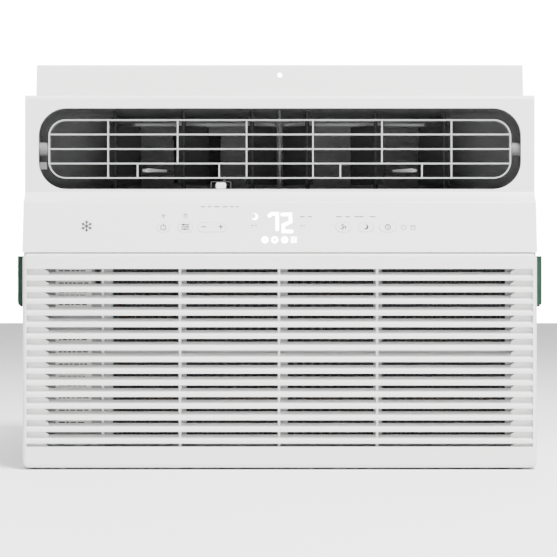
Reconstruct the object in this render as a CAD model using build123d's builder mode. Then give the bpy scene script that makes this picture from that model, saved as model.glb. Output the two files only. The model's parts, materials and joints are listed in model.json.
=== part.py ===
from build123d import *
from math import atan2, cos, degrees, radians, sin
import os

# Window air conditioner, in millimetres.
# +X is to the right of someone facing the unit, +Y runs to the outdoor side, +Z is up.
# The origin is at the middle of the footprint, on the underside of the base pan.

# ---------------------------------------------------------------- driving dimensions
FRONT_Y = -273.0            # foremost face, at the lips of the intake grille
REAR_Y = 273.0              # rearmost face, at the cabinet's rear flange
FRONT_HALF_W = 241.3        # half the width of the front panel (19 in overall)
FRONT_BOTTOM = 2.0
FRONT_TOP = 353.0
SKIN = 2.5                  # moulded wall of the front panel

CAB_HALF_W = 237.5
CAB_BOTTOM = 6.0
CAB_TOP = 348.0
CAB_FRONT = -214.0
SHEET = 1.0                 # cabinet sheet steel

SEAM_Z = 203.6              # parting line between control fascia and intake grille
GRILLE_BACK_Y = -259.0      # rear edge of the intake grille's returns
FRAME_WALL_Y = -258.5       # front wall of the front frame, behind the grille
FRAME_REAR_Y = -200.0
BEZEL_Y = -247.0            # face round the air outlet

OUTLET_Z = 302.4            # centre height of the air outlet
OUTLET_W = 457.0
OUTLET_H = 76.8
OUTLET_R = 26.5

SHAFT_X = 45.0              # common shaft of blower and condenser fan
SHAFT_Z = 142.0
SHAFT_R = 6.0


def save(name, part):
    """Labels one finished sub-part and writes it as its own STEP file."""
    part.label = name
    export_step(part, f"parts/{name}.step")


def front_plane(y):
    """A sketch plane facing the room at depth y: local x is +X and local y is +Z."""
    return Plane.XZ.offset(-y)


def block(x, y, z, mode=Mode.ADD):
    """An upright box between (low, high) limits on each axis."""
    centre = tuple((limits[0] + limits[1]) / 2 for limits in (x, y, z))
    with Locations(centre):
        Box(x[1] - x[0], y[1] - y[0], z[1] - z[0], mode=mode)


def bar(start, end, radius, mode=Mode.ADD):
    """A round bar from start to end."""
    run = Vector(end) - Vector(start)
    with BuildSketch(Plane(origin=start, z_dir=run)) as disc:
        Circle(radius)
    extrude(disc.sketch, amount=run.length, mode=mode)


def tube_along(points, bend_r, outer):
    """A round tube swept along straight runs joined by tangent arcs."""
    with BuildPart() as tube:
        with BuildLine() as route:
            FilletPolyline(*points, radius=bend_r)
        with BuildSketch(Plane(origin=route.line @ 0, z_dir=route.line % 0)):
            Circle(outer)
        sweep()
    return tube.part


def hex_screws(seats, direction, length):
    """Hex washer-head screws seated at the given points, each driven along direction."""
    head_r, head_h, washer_r, washer_h, shank_r, socket_r = 3.4, 2.6, 4.6, 0.7, 1.9, 1.5
    with BuildPart() as screws:
        for seat in seats:
            inward = Plane(origin=seat, z_dir=direction)
            with BuildSketch(inward):
                Circle(shank_r)
            extrude(amount=length)
            with BuildSketch(inward):
                Circle(washer_r)
            extrude(amount=-washer_h)
            with BuildSketch(inward.offset(-washer_h)):
                RegularPolygon(head_r, 6)
            extrude(amount=-head_h)
            with BuildSketch(inward.offset(-washer_h - head_h)):
                Circle(socket_r)
            extrude(amount=head_h * 0.6, mode=Mode.SUBTRACT)
    return screws.part


os.makedirs("parts", exist_ok=True)

# ================================================================ cabinet and base
PAN_HALF_W = CAB_HALF_W - SHEET - 0.3
PAN_FRONT, PAN_REAR = -252.0, 268.0
PAN_WALL = 1.5
PAN_HEIGHT = 24.0
COMPRESSOR_X, COMPRESSOR_Y, COMPRESSOR_R = -150.0, 62.0, 58.0
FOOT_RING = 66.0            # radius of the circle of compressor feet
FOOT_ANGLES = (90, 210, 330)
DRAIN_X, DRAIN_Y, DRAIN_R = 150.0, 100.0, 6.0
SIDE_SCREW_Z = 15.0
SIDE_SCREW_YS = (-180.0, -40.0, 90.0, 225.0)
SCREW_HOLE_R = 2.1

foot_points = [
    (COMPRESSOR_X + FOOT_RING * cos(radians(a)), COMPRESSOR_Y + FOOT_RING * sin(radians(a)))
    for a in FOOT_ANGLES
]

with BuildPart() as base_pan:
    block((-PAN_HALF_W, PAN_HALF_W), (PAN_FRONT, PAN_REAR), (0, PAN_HEIGHT))
    fillet(base_pan.edges().filter_by(Axis.Z), radius=8)
    top = base_pan.faces().sort_by(Axis.Z)[-1]
    offset(amount=-PAN_WALL, openings=top)
    # stiffening beads across the floor, and the raised pads that carry the compressor feet
    for bead_y in (-30.0, 130.0):
        with BuildSketch(Plane.XY.offset(PAN_WALL)):
            with Locations((0, bead_y)):
                SlotOverall(380, 12)
        extrude(amount=2.5)
    with BuildSketch(Plane.XY.offset(PAN_WALL)):
        with Locations(*foot_points):
            Circle(15)
    extrude(amount=5.0)
    with BuildSketch(Plane.XY):
        with Locations((DRAIN_X, DRAIN_Y)):
            Circle(DRAIN_R)
    extrude(amount=PAN_WALL, mode=Mode.SUBTRACT)
    for side_y in SIDE_SCREW_YS:
        edge = PAN_HALF_W + 1
        bar((-edge, side_y, SIDE_SCREW_Z), (edge, side_y, SIDE_SCREW_Z), SCREW_HOLE_R, Mode.SUBTRACT)
save("base_pan", base_pan.part)

with BuildPart() as drain_plug:
    bar((DRAIN_X, DRAIN_Y, 0.4), (DRAIN_X, DRAIN_Y, PAN_WALL), DRAIN_R - 0.2)
    bar((DRAIN_X, DRAIN_Y, PAN_WALL), (DRAIN_X, DRAIN_Y, PAN_WALL + 3), DRAIN_R + 2.5)
    fillet(drain_plug.edges().group_by(Axis.Z)[-1], radius=1)
save("drain_plug", drain_plug.part)

# cabinet wrap: top and two sides in one folded sheet, with louvres over the outdoor section
CAB_FOLD_R = 5.0
FLANGE_W = 19.0             # rear flange that frames the condenser
LOUVRE_L, LOUVRE_SLOT = 62.0, 3.2
LOUVRE_PITCH = 15.0
LOUVRE_ROWS = 16
LOUVRE_COLUMNS_Y = (118.0, 196.0)
LOUVRE_MID_Z = 180.0
HOOD_REACH = 3.4
TOP_SLOT_PITCH = 14.0
RAIL_Y = -153.0             # plane of the window sash
RAIL_FOOT = 26.0
RAIL_SCREW_XS = (-205.0, -70.0, 70.0, 205.0)
RAIL_SCREW_Y = RAIL_Y + 14.0
CURTAIN_HOLE_ZS = (60.0, 290.0)
CURTAIN_HOLE_R = 2.05
GLAND_Y, GLAND_Z, GLAND_NECK_R, GLAND_BORE_R = -184.0, 34.0, 7.0, 4.0
HANDLE_Y = (-130.0, -30.0)
HANDLE_Z = (151.2, 201.8)
HANDLE_MID_Y = sum(HANDLE_Y) / 2
HANDLE_SCREW_ZS = (HANDLE_Z[0] - 6.5, HANDLE_Z[1] + 6.5)
PANEL_SCREW_Y = -207.0
PANEL_SCREW_ZS = (110.0, 255.0)

louvre_zs = [LOUVRE_MID_Z + (i - (LOUVRE_ROWS - 1) / 2) * LOUVRE_PITCH for i in range(LOUVRE_ROWS)]

with BuildPart() as cabinet_shell:
    mid_z = (CAB_BOTTOM + CAB_TOP) / 2
    with BuildSketch(front_plane(CAB_FRONT)):
        with Locations((0, mid_z)):
            outer = Rectangle(2 * CAB_HALF_W, CAB_TOP - CAB_BOTTOM)
        fillet(outer.vertices().group_by(Axis.Z)[-1], radius=CAB_FOLD_R)
    extrude(amount=CAB_FRONT - REAR_Y)
    with BuildSketch(front_plane(CAB_FRONT)):
        with Locations((0, mid_z - SHEET)):
            inner = Rectangle(2 * (CAB_HALF_W - SHEET), CAB_TOP - CAB_BOTTOM)
        fillet(inner.vertices().group_by(Axis.Z)[-1], radius=CAB_FOLD_R - SHEET)
    extrude(amount=CAB_FRONT - (REAR_Y - SHEET), mode=Mode.SUBTRACT)
    block(
        (-CAB_HALF_W + FLANGE_W, CAB_HALF_W - FLANGE_W),
        (REAR_Y - 2 * SHEET, REAR_Y),
        (CAB_BOTTOM, CAB_TOP - FLANGE_W),
        Mode.SUBTRACT,
    )
    # side louvre slots
    with BuildSketch(Plane.YZ):
        with Locations(*[(y, z) for y in LOUVRE_COLUMNS_Y for z in louvre_zs]):
            Rectangle(LOUVRE_L, LOUVRE_SLOT)
    extrude(amount=CAB_HALF_W + 1, both=True, mode=Mode.SUBTRACT)
    # top louvre slots
    with BuildSketch(Plane.XY.offset(CAB_TOP + 1)):
        with Locations((0, 190)):
            with GridLocations(104, TOP_SLOT_PITCH, 4, 8):
                SlotOverall(86, 3.4)
    extrude(amount=-4, mode=Mode.SUBTRACT)
    # pressed hoods over the side slots
    half_slot = LOUVRE_SLOT / 2
    for column_y in LOUVRE_COLUMNS_Y:
        with BuildSketch(front_plane(column_y - LOUVRE_L / 2)):
            for side in (-1, 1):
                wall = side * CAB_HALF_W
                for z in louvre_zs:
                    with BuildLine():
                        Polyline(
                            (wall - side * SHEET, z + half_slot + 0.1),
                            (wall, z + half_slot + 1.0),
                            (wall + side * HOOD_REACH, z - half_slot),
                            (wall + side * (HOOD_REACH - 0.9), z - half_slot - 0.3),
                            (wall - side * SHEET, z + half_slot - 0.9),
                            close=True,
                        )
                    make_face()
        extrude(amount=-LOUVRE_L)
    # fastening holes
    edge = CAB_HALF_W + 1
    for side_y in SIDE_SCREW_YS:
        bar((-edge, side_y, SIDE_SCREW_Z), (edge, side_y, SIDE_SCREW_Z), SCREW_HOLE_R, Mode.SUBTRACT)
    for hole_z in CURTAIN_HOLE_ZS:
        bar((-edge, RAIL_Y, hole_z), (edge, RAIL_Y, hole_z), CURTAIN_HOLE_R, Mode.SUBTRACT)
    for hole_z in PANEL_SCREW_ZS:
        bar((-edge, PANEL_SCREW_Y, hole_z), (edge, PANEL_SCREW_Y, hole_z), SCREW_HOLE_R, Mode.SUBTRACT)
    for hole_z in HANDLE_SCREW_ZS:
        bar((-edge, HANDLE_MID_Y, hole_z), (edge, HANDLE_MID_Y, hole_z), SCREW_HOLE_R, Mode.SUBTRACT)
    for hole_x in RAIL_SCREW_XS:
        seat = (hole_x, RAIL_SCREW_Y, CAB_TOP + 1)
        bar((hole_x, RAIL_SCREW_Y, CAB_TOP - 3), seat, SCREW_HOLE_R, Mode.SUBTRACT)
    bar((-edge, GLAND_Y, GLAND_Z), (-edge + 3, GLAND_Y, GLAND_Z), GLAND_NECK_R + 0.1, Mode.SUBTRACT)
save("cabinet_shell", cabinet_shell.part)

# rubber gland for the supply cord
with BuildPart() as cord_gland:
    gland_face = -CAB_HALF_W
    bar((gland_face - 2.4, GLAND_Y, GLAND_Z), (gland_face, GLAND_Y, GLAND_Z), GLAND_NECK_R + 2.2)
    bar((gland_face, GLAND_Y, GLAND_Z), (gland_face + SHEET, GLAND_Y, GLAND_Z), GLAND_NECK_R)
    inner_face = gland_face + SHEET
    bar((inner_face, GLAND_Y, GLAND_Z), (inner_face + 2.4, GLAND_Y, GLAND_Z), GLAND_NECK_R + 1.6)
    bar((gland_face - 3, GLAND_Y, GLAND_Z), (gland_face + 5, GLAND_Y, GLAND_Z), GLAND_BORE_R, Mode.SUBTRACT)
    fillet(cord_gland.edges().group_by(Axis.X)[0], radius=0.8)
save("cord_gland", cord_gland.part)

# top rail: folded angle that the window sash closes behind
RAIL_T = 1.5
RAIL_TOP = 389.0
RAIL_HALF_W = 239.4
RAIL_TAPER = 0.9
SASH_HOLE_Z, SASH_HOLE_R = 379.2, 2.4
with BuildPart() as top_rail:
    with BuildSketch(front_plane(RAIL_Y)):
        with BuildLine():
            Polyline(
                (-RAIL_HALF_W, CAB_TOP),
                (-RAIL_HALF_W + RAIL_TAPER, RAIL_TOP),
                (RAIL_HALF_W - RAIL_TAPER, RAIL_TOP),
                (RAIL_HALF_W, CAB_TOP),
                close=True,
            )
        make_face()
    extrude(amount=-RAIL_T)
    block((-CAB_HALF_W + 5, CAB_HALF_W - 5), (RAIL_Y, RAIL_Y + RAIL_FOOT), (CAB_TOP, CAB_TOP + RAIL_T))
    fold = top_rail.edges().filter_by(Axis.X).filter_by_position(Axis.Z, CAB_TOP + RAIL_T, CAB_TOP + RAIL_T)
    fillet(fold.filter_by_position(Axis.Y, RAIL_Y + RAIL_T, RAIL_Y + RAIL_T), radius=2)
    bar((0, RAIL_Y - 1, SASH_HOLE_Z), (0, RAIL_Y + 3, SASH_HOLE_Z), SASH_HOLE_R, Mode.SUBTRACT)
    for hole_x in RAIL_SCREW_XS:
        seat = (hole_x, RAIL_SCREW_Y, CAB_TOP + 3)
        bar((hole_x, RAIL_SCREW_Y, CAB_TOP - 1), seat, SCREW_HOLE_R, Mode.SUBTRACT)
save("top_rail", top_rail.part)


# side carry grips: a moulded scoop, open underneath for the fingers, on a screwed flange
GRIP_REACH = 260.0          # outermost x of the grip
GRIP_WALL = 2.4


def carry_grip(side):
    """One green finger grip; side is -1 for the left and 1 for the right."""
    flange_x = CAB_HALF_W + 2.2
    with BuildPart() as grip:
        with BuildSketch(front_plane(HANDLE_Y[0])):
            with BuildLine():
                Polyline(
                    (side * CAB_HALF_W, HANDLE_Z[0]),
                    (side * GRIP_REACH, HANDLE_Z[0]),
                    (side * GRIP_REACH, HANDLE_Z[1]),
                    (side * CAB_HALF_W, HANDLE_Z[1]),
                    close=True,
                )
            body = make_face()
            outer_corners = body.vertices().group_by(Axis.X)[-1 if side > 0 else 0]
            fillet(outer_corners.sort_by(Axis.Z)[0], radius=5)
            fillet(outer_corners.sort_by(Axis.Z)[-1], radius=3)
        extrude(amount=HANDLE_Y[0] - HANDLE_Y[1])
        outer_edges = grip.edges().filter_by(Axis.Z).group_by(Axis.X)[-1 if side > 0 else 0]
        fillet(outer_edges, radius=3)
        with BuildSketch(Plane.XY.offset(HANDLE_Z[0] - 1)):
            with Locations((side * (flange_x + GRIP_REACH - GRIP_WALL) / 2, HANDLE_MID_Y)):
                RectangleRounded(
                    GRIP_REACH - GRIP_WALL - flange_x,
                    HANDLE_Y[1] - HANDLE_Y[0] - 2 * GRIP_WALL,
                    2,
                )
        extrude(amount=HANDLE_Z[1] - HANDLE_Z[0] + 1 - GRIP_WALL - 1, mode=Mode.SUBTRACT)
        with BuildSketch(Plane.YZ.offset(side * CAB_HALF_W)):
            with Locations((HANDLE_MID_Y, sum(HANDLE_Z) / 2)):
                RectangleRounded(
                    HANDLE_Y[1] - HANDLE_Y[0],
                    HANDLE_SCREW_ZS[1] - HANDLE_SCREW_ZS[0] + 13,
                    5,
                )
        extrude(amount=side * 2.2)
        for hole_z in HANDLE_SCREW_ZS:
            bar(
                (side * (CAB_HALF_W - 1), HANDLE_MID_Y, hole_z),
                (side * (flange_x + 1), HANDLE_MID_Y, hole_z),
                SCREW_HOLE_R,
                Mode.SUBTRACT,
            )
    return grip.part


save("left_carry_grip", carry_grip(-1))
save("right_carry_grip", carry_grip(1))

# hex washer-head screws of the base, the carry grips, the front panel and the top rail
side_seats = [(CAB_HALF_W, y, SIDE_SCREW_Z) for y in SIDE_SCREW_YS]
side_seats += [(CAB_HALF_W + 2.2, HANDLE_MID_Y, z) for z in HANDLE_SCREW_ZS]
side_seats += [(FRONT_HALF_W, PANEL_SCREW_Y, z) for z in PANEL_SCREW_ZS]
with BuildPart() as case_screws:
    add(hex_screws(side_seats, (-1, 0, 0), 7))
    add(hex_screws([(-x, y, z) for x, y, z in side_seats], (1, 0, 0), 7))
    add(hex_screws([(x, RAIL_SCREW_Y, CAB_TOP + RAIL_T) for x in RAIL_SCREW_XS], (0, 0, -1), 5))
save("case_screws", case_screws.part)

# ================================================================ front panel
FASCIA_TOP_Y, FASCIA_TOP_Z = -260.5, 252.5
FASCIA_LOW_Y = FRONT_Y + 0.3
FASCIA_LOW_Z = SEAM_Z + 0.4
COVE_Z = 261.5              # where the face under the outlet starts to sweep forward
slope = atan2(FASCIA_TOP_Y - FASCIA_LOW_Y, FASCIA_TOP_Z - FASCIA_LOW_Z)
FASCIA_OUT = (0, -cos(slope), sin(slope))     # outward normal of the control fascia

BUTTON_Z = 227.6
BUTTON_H = 9.4
BUTTON_GAP = 0.25
BUTTON_PROUD = 0.35
BUTTONS = {                 # name: (centre x, width)
    "power_button": (-109.4, 12.0),
    "mode_button": (-88.8, 14.0),
    "temperature_rocker": (-63.7, 27.0),
    "fan_button": (59.7, 14.4),
    "sleep_button": (81.0, 14.4),
    "timer_button": (101.7, 16.0),
}
ROCKER_PIN_R = 0.9
ROCKER_DEPTH = 3.8          # how far the rocker's pivot lies behind the fascia's outer face
ROCKER_LUG = (6.2, 8.2)     # its bearings' span above and below the rocker's centre
lean = (FASCIA_TOP_Y - FASCIA_LOW_Y) / (FASCIA_TOP_Z - FASCIA_LOW_Z)
button_y = FASCIA_LOW_Y + (BUTTON_Z - FASCIA_LOW_Z) * lean


def fascia_plane(x):
    """The control fascia's outer face, centred on the button row at x."""
    return Plane(origin=(x, button_y, BUTTON_Z), x_dir=(1, 0, 0), z_dir=FASCIA_OUT)


HINGE_Y, HINGE_Z = -263.0, 10.0
HINGE_XS = (-170.0, 170.0)
HINGE_PIN_R = 2.0
EAR_T = 3.0
LUG_HALF = 5.0
INTAKE_HALF_W = 232.0
INTAKE_Z = (15.0, 200.0)

with BuildPart() as front_frame:
    with BuildSketch(Plane.YZ):
        with BuildLine():
            Polyline(
                (FRAME_REAR_Y, FRONT_BOTTOM),
                (FRAME_REAR_Y, FRONT_TOP),
                (BEZEL_Y, FRONT_TOP),
                (BEZEL_Y, COVE_Z),
            )
            RadiusArc((BEZEL_Y, COVE_Z), (FASCIA_TOP_Y, FASCIA_TOP_Z), 16, short_sagitta=True)
            Polyline(
                (FASCIA_TOP_Y, FASCIA_TOP_Z),
                (FASCIA_LOW_Y, FASCIA_LOW_Z),
                (FRAME_WALL_Y, FASCIA_LOW_Z),
                (FRAME_WALL_Y, FRONT_BOTTOM),
                (FRAME_REAR_Y, FRONT_BOTTOM),
            )
        make_face()
    extrude(amount=FRONT_HALF_W, both=True)
    long_edges = front_frame.edges().filter_by(Axis.X)
    fillet(long_edges.filter_by_position(Axis.Z, FRONT_TOP, FRONT_TOP).sort_by(Axis.Y)[0], radius=4)
    long_edges = front_frame.edges().filter_by(Axis.X)
    nose = long_edges.filter_by_position(Axis.Z, FASCIA_TOP_Z - 0.1, FASCIA_TOP_Z + 0.1)
    fillet(nose.sort_by(Axis.Y)[0], radius=3)
    with BuildSketch(Plane.YZ):
        with BuildLine():
            Polyline(
                (FRAME_REAR_Y + 1, FRONT_BOTTOM + SKIN),
                (FRAME_REAR_Y + 1, FRONT_TOP - SKIN),
                (BEZEL_Y + SKIN, FRONT_TOP - SKIN),
                (BEZEL_Y + SKIN, COVE_Z - 1),
                (FASCIA_TOP_Y + SKIN, FASCIA_TOP_Z - 3),
                (FASCIA_LOW_Y + SKIN * 1.1, FASCIA_LOW_Z + SKIN),
                (FRAME_WALL_Y + SKIN, FASCIA_LOW_Z + SKIN),
                (FRAME_WALL_Y + SKIN, FRONT_BOTTOM + SKIN),
                close=True,
            )
        make_face()
    extrude(amount=FRONT_HALF_W - SKIN, both=True, mode=Mode.SUBTRACT)
    # air outlet, intake window, and the open underside over the base pan
    with BuildSketch(front_plane(BEZEL_Y - 1)):
        with Locations((0, OUTLET_Z)):
            RectangleRounded(OUTLET_W, OUTLET_H, OUTLET_R)
    extrude(amount=-(SKIN + 2), mode=Mode.SUBTRACT)
    wall_cut = (FRAME_WALL_Y - 1, FRAME_WALL_Y + SKIN + 1)
    block((-INTAKE_HALF_W, INTAKE_HALF_W), wall_cut, INTAKE_Z, Mode.SUBTRACT)
    block(
        (-FRONT_HALF_W + SKIN, FRONT_HALF_W - SKIN),
        (PAN_FRONT - 0.6, FRAME_REAR_Y + 1),
        (FRONT_BOTTOM - 1, FRONT_BOTTOM + SKIN + 1),
        Mode.SUBTRACT,
    )
    # button openings
    for centre_x, width in BUTTONS.values():
        with BuildSketch(fascia_plane(centre_x)):
            SlotOverall(width + 2 * BUTTON_GAP, BUTTON_H + 2 * BUTTON_GAP)
        extrude(amount=4, both=True, mode=Mode.SUBTRACT)
    edge = FRONT_HALF_W + 1
    for hole_z in PANEL_SCREW_ZS:
        bar((-edge, PANEL_SCREW_Y, hole_z), (edge, PANEL_SCREW_Y, hole_z), SCREW_HOLE_R, Mode.SUBTRACT)
    # hinge ears for the tilt-out grille
    for hinge_x in HINGE_XS:
        for side in (-1, 1):
            inner_x = hinge_x + side * (LUG_HALF + 0.4)
            outer_x = inner_x + side * EAR_T
            block(
                (min(inner_x, outer_x), max(inner_x, outer_x)),
                (HINGE_Y, FRAME_WALL_Y + 0.5),
                (HINGE_Z - 4, HINGE_Z + 4),
            )
            bar((inner_x, HINGE_Y, HINGE_Z), (outer_x, HINGE_Y, HINGE_Z), 4)
            bar((hinge_x, HINGE_Y, HINGE_Z), (inner_x + side, HINGE_Y, HINGE_Z), HINGE_PIN_R)
    # bearings behind the fascia for the temperature rocker's pivot
    rocker = fascia_plane(BUTTONS["temperature_rocker"][0])
    for side in (-1, 1):
        with BuildSketch(rocker.offset(-SKIN + 0.5)):
            with Locations((0, side * (ROCKER_LUG[0] + ROCKER_LUG[1]) / 2)):
                Rectangle(5, ROCKER_LUG[1] - ROCKER_LUG[0])
        extrude(amount=-3.6)
        pivot_end = rocker.from_local_coords((0, side * (ROCKER_LUG[1] + 1), -ROCKER_DEPTH))
        pivot_start = rocker.from_local_coords((0, side * (ROCKER_LUG[0] - 1), -ROCKER_DEPTH))
        bar(pivot_start, pivot_end, ROCKER_PIN_R + 0.06, Mode.SUBTRACT)
save("front_frame", front_frame.part)


def push_button(width):
    """A key cap standing on the fascia's plane at the origin: face along +Z, retaining flange behind."""
    with BuildPart() as cap:
        with BuildSketch(Plane.XY.offset(BUTTON_PROUD)):
            SlotOverall(width, BUTTON_H)
        extrude(amount=-(BUTTON_PROUD + SKIN + 0.7))
        fillet(cap.faces().sort_by(Axis.Z)[-1].edges(), radius=0.3)
        with BuildSketch(Plane.XY.offset(-SKIN - 0.7)):
            SlotOverall(width + 2.4, BUTTON_H + 2.4)
        extrude(amount=-1.2)
        with BuildSketch(Plane.XY.offset(-SKIN - 1.9)):
            Circle(2)
        extrude(amount=-1.2)
    return cap.part


for button_name, (centre_x, width) in BUTTONS.items():
    if button_name != "temperature_rocker":
        save(button_name, fascia_plane(centre_x) * push_button(width))

rocker_x, rocker_w = BUTTONS["temperature_rocker"]
with BuildPart() as temperature_rocker:
    add(push_button(rocker_w))
    bar(
        (0, -ROCKER_LUG[1] + 0.2, -ROCKER_DEPTH),
        (0, ROCKER_LUG[1] - 0.2, -ROCKER_DEPTH),
        ROCKER_PIN_R,
    )
save("temperature_rocker", fascia_plane(rocker_x) * temperature_rocker.part)

BOARD_T = 1.6
with BuildPart() as display_board:
    with BuildSketch(fascia_plane(0).offset(-SKIN - 5.2)):
        Rectangle(286, 36)
    extrude(amount=-BOARD_T)
    # key switches on its front, and two chips on its back
    with BuildSketch(fascia_plane(0).offset(-SKIN - 5.2)):
        with Locations(*[(x, 0) for name, (x, _) in BUTTONS.items() if "rocker" not in name]):
            Rectangle(6, 6)
    extrude(amount=0.9)
    with BuildSketch(fascia_plane(0).offset(-SKIN - 5.2 - BOARD_T)):
        with Locations((-40, 0), (30, 4)):
            Rectangle(22, 12)
    extrude(amount=-3)
save("display_board", display_board.part)

# LED block behind the fascia that makes the figures shine through it
with BuildPart() as display_lens:
    with BuildSketch(fascia_plane(1.2).offset(-SKIN - 0.5)):
        Rectangle(46, 32)
    extrude(amount=-4.7)
    fillet(display_lens.edges().filter_by(Axis.Y, reverse=True).group_by(Axis.Z)[-1], radius=0.5)
save("display_lens", display_lens.part)

# ---------------------------------------------------------------- tilt-out intake grille
SLOTS = 16
SLOT_PITCH = 10.91
SLOT_H = 3.15
SLOT_TOP_Z = 186.9          # centre height of the uppermost slot
LIP_H = 2.8                 # upright lip at the front of each slat
FLUTE_HALF_W = 237.4        # the slats' reach to each side
SLOT_HALF_TOP, SLOT_HALF_LOW = 221.4, 216.8
FLUTE_BACK_Y = FRONT_Y + 4.6
RIB_XS = (-93.6, -0.7, 91.4)
SLAT_TOP_Y = FRONT_Y + 7.6
SLAT_BACK_Y = FRONT_Y + 9.6
slot_zs = [SLOT_TOP_Z - i * SLOT_PITCH for i in range(SLOTS)]

FILTER_X = (-165.0, 220.0)
FILTER_Z = (17.5, 191.5)
FILTER_Y = (-258.6, -253.8)

with BuildPart() as intake_grille:
    # outer tray
    with BuildSketch(front_plane(FRONT_Y)):
        with Locations((0, (FRONT_BOTTOM + SEAM_Z) / 2)):
            tray = Rectangle(2 * FRONT_HALF_W, SEAM_Z - FRONT_BOTTOM)
        fillet(tray.vertices().group_by(Axis.Z)[0], radius=6)
    extrude(amount=FRONT_Y - GRILLE_BACK_Y)
    low_front = intake_grille.edges().group_by(Axis.Y)[0].group_by(Axis.Z)[0]
    fillet(low_front, radius=4)
    block(
        (-FRONT_HALF_W + SKIN, FRONT_HALF_W - SKIN),
        (FRONT_Y + SKIN, GRILLE_BACK_Y + 1),
        (FRONT_BOTTOM + SKIN, SEAM_Z - SKIN),
        Mode.SUBTRACT,
    )
    block(
        (-FLUTE_HALF_W, FLUTE_HALF_W),
        (FRONT_Y - 1, FRONT_Y + SKIN + 1),
        (slot_zs[-1] - SLOT_H / 2, slot_zs[0] + SLOT_H / 2),
        Mode.SUBTRACT,
    )
    # clearance behind the bottom edge, so that the tray can swing about its hinge
    with BuildSketch(Plane.YZ):
        with BuildLine():
            Polyline(
                (GRILLE_BACK_Y + 0.1, FRONT_BOTTOM - 1),
                (GRILLE_BACK_Y + 0.1, FRONT_BOTTOM + 13),
                (FRONT_Y + SKIN + 3.5, FRONT_BOTTOM + SKIN),
                (FRONT_Y + SKIN + 3.5, FRONT_BOTTOM - 1),
                close=True,
            )
        make_face()
    extrude(amount=FRONT_HALF_W + 1, both=True, mode=Mode.SUBTRACT)
    # slats: an upright lip with a face that falls back under the slat above
    with BuildSketch(Plane.YZ):
        for upper_z, lower_z in zip(slot_zs[:-1], slot_zs[1:]):
            slat_top, slat_low = upper_z - SLOT_H / 2, lower_z + SLOT_H / 2
            with BuildLine():
                Polyline(
                    (FRONT_Y, slat_low),
                    (FRONT_Y, slat_low + LIP_H),
                    (SLAT_TOP_Y, slat_top),
                    (SLAT_BACK_Y, slat_top),
                    (SLAT_BACK_Y, slat_top - 1.6),
                    (FRONT_Y + 2.4, slat_low + 1.4),
                    (FRONT_Y + 2.4, slat_low),
                    close=True,
                )
            make_face()
    extrude(amount=FLUTE_HALF_W + 0.5, both=True)
    # blind ends of the flutes, each cut back at a slant where its slot begins
    with BuildSketch(front_plane(FLUTE_BACK_Y)):
        for slot_z in slot_zs:
            upper_z, low_z = slot_z + SLOT_H / 2, slot_z - SLOT_H / 2
            for side in (-1, 1):
                with BuildLine():
                    Polyline(
                        (side * (FLUTE_HALF_W + 0.5), upper_z),
                        (side * SLOT_HALF_TOP, upper_z),
                        (side * SLOT_HALF_LOW, low_z),
                        (side * SLOT_HALF_LOW, upper_z - SLOT_PITCH),
                        (side * (FLUTE_HALF_W + 0.5), upper_z - SLOT_PITCH),
                        close=True,
                    )
                make_face()
    extrude(amount=FLUTE_BACK_Y - SLAT_BACK_Y)
    # upright ribs that tie the slats together
    for rib_x in RIB_XS:
        block(
            (rib_x - 1.1, rib_x + 1.1),
            (FRONT_Y + 4.0, FRONT_Y + 12),
            (slot_zs[-1] - SLOT_H, slot_zs[0] + SLOT_H),
        )
    # guide channels for the filter's side bars
    for rail_x, lip in ((FILTER_X[0], -1), (FILTER_X[1], 1)):
        wall = (rail_x + lip * 0.4, rail_x + lip * 2.4)
        block((min(wall), max(wall)), (SLAT_BACK_Y - 1, FILTER_Y[1] + 2), (24, 190))
        tab = (rail_x - lip * 2.5, rail_x + lip * 2.4)
        for tab_z in (34.0, 106.0, 172.0):
            block((min(tab), max(tab)), (FILTER_Y[1] + 0.4, FILTER_Y[1] + 2), (tab_z, tab_z + 16))
    # hinge lugs
    for hinge_x in HINGE_XS:
        block(
            (hinge_x - LUG_HALF, hinge_x + LUG_HALF),
            (FRONT_Y + SKIN - 0.5, HINGE_Y),
            (HINGE_Z - 4, HINGE_Z + 4),
        )
        bar((hinge_x - LUG_HALF, HINGE_Y, HINGE_Z), (hinge_x + LUG_HALF, HINGE_Y, HINGE_Z), 4)
        bar(
            (hinge_x - LUG_HALF - 1, HINGE_Y, HINGE_Z),
            (hinge_x + LUG_HALF + 1, HINGE_Y, HINGE_Z),
            HINGE_PIN_R + 0.06,
            Mode.SUBTRACT,
        )
save("intake_grille", intake_grille.part)

# ---------------------------------------------------------------- washable air filter
FILTER_BAR = 7.5
FILTER_TOP_BAR = 2.2
FILTER_RIB_XS = (-91.9, 3.6, 92.4)
FILTER_MID_Z = 110.5
FILTER_MID_H = 5.0
filter_columns = [
    (low + FILTER_BAR / 2, high - FILTER_BAR / 2)
    for low, high in zip(
        (FILTER_X[0] + FILTER_BAR / 2, *FILTER_RIB_XS),
        (*FILTER_RIB_XS, FILTER_X[1] - FILTER_BAR / 2),
    )
]
filter_rows = [
    (FILTER_Z[0] + 9.0, FILTER_MID_Z - FILTER_MID_H / 2),
    (FILTER_MID_Z + FILTER_MID_H / 2, FILTER_Z[1] - FILTER_TOP_BAR),
]
with BuildPart() as filter_frame:
    block(FILTER_X, FILTER_Y, FILTER_Z)
    fillet(filter_frame.edges().filter_by(Axis.Y), radius=5)
    for pane_x in filter_columns:
        for pane_z in filter_rows:
            block(pane_x, (FILTER_Y[0] - 1, FILTER_Y[1] + 1), pane_z, Mode.SUBTRACT)
    # pull tab at the top edge
    with BuildSketch(Plane.XY.offset(FILTER_Z[1])):
        with Locations(((FILTER_X[0] + FILTER_X[1]) / 2, sum(FILTER_Y) / 2)):
            SlotOverall(50, 2.4)
    extrude(amount=4.0)
save("filter_frame", filter_frame.part)

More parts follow.
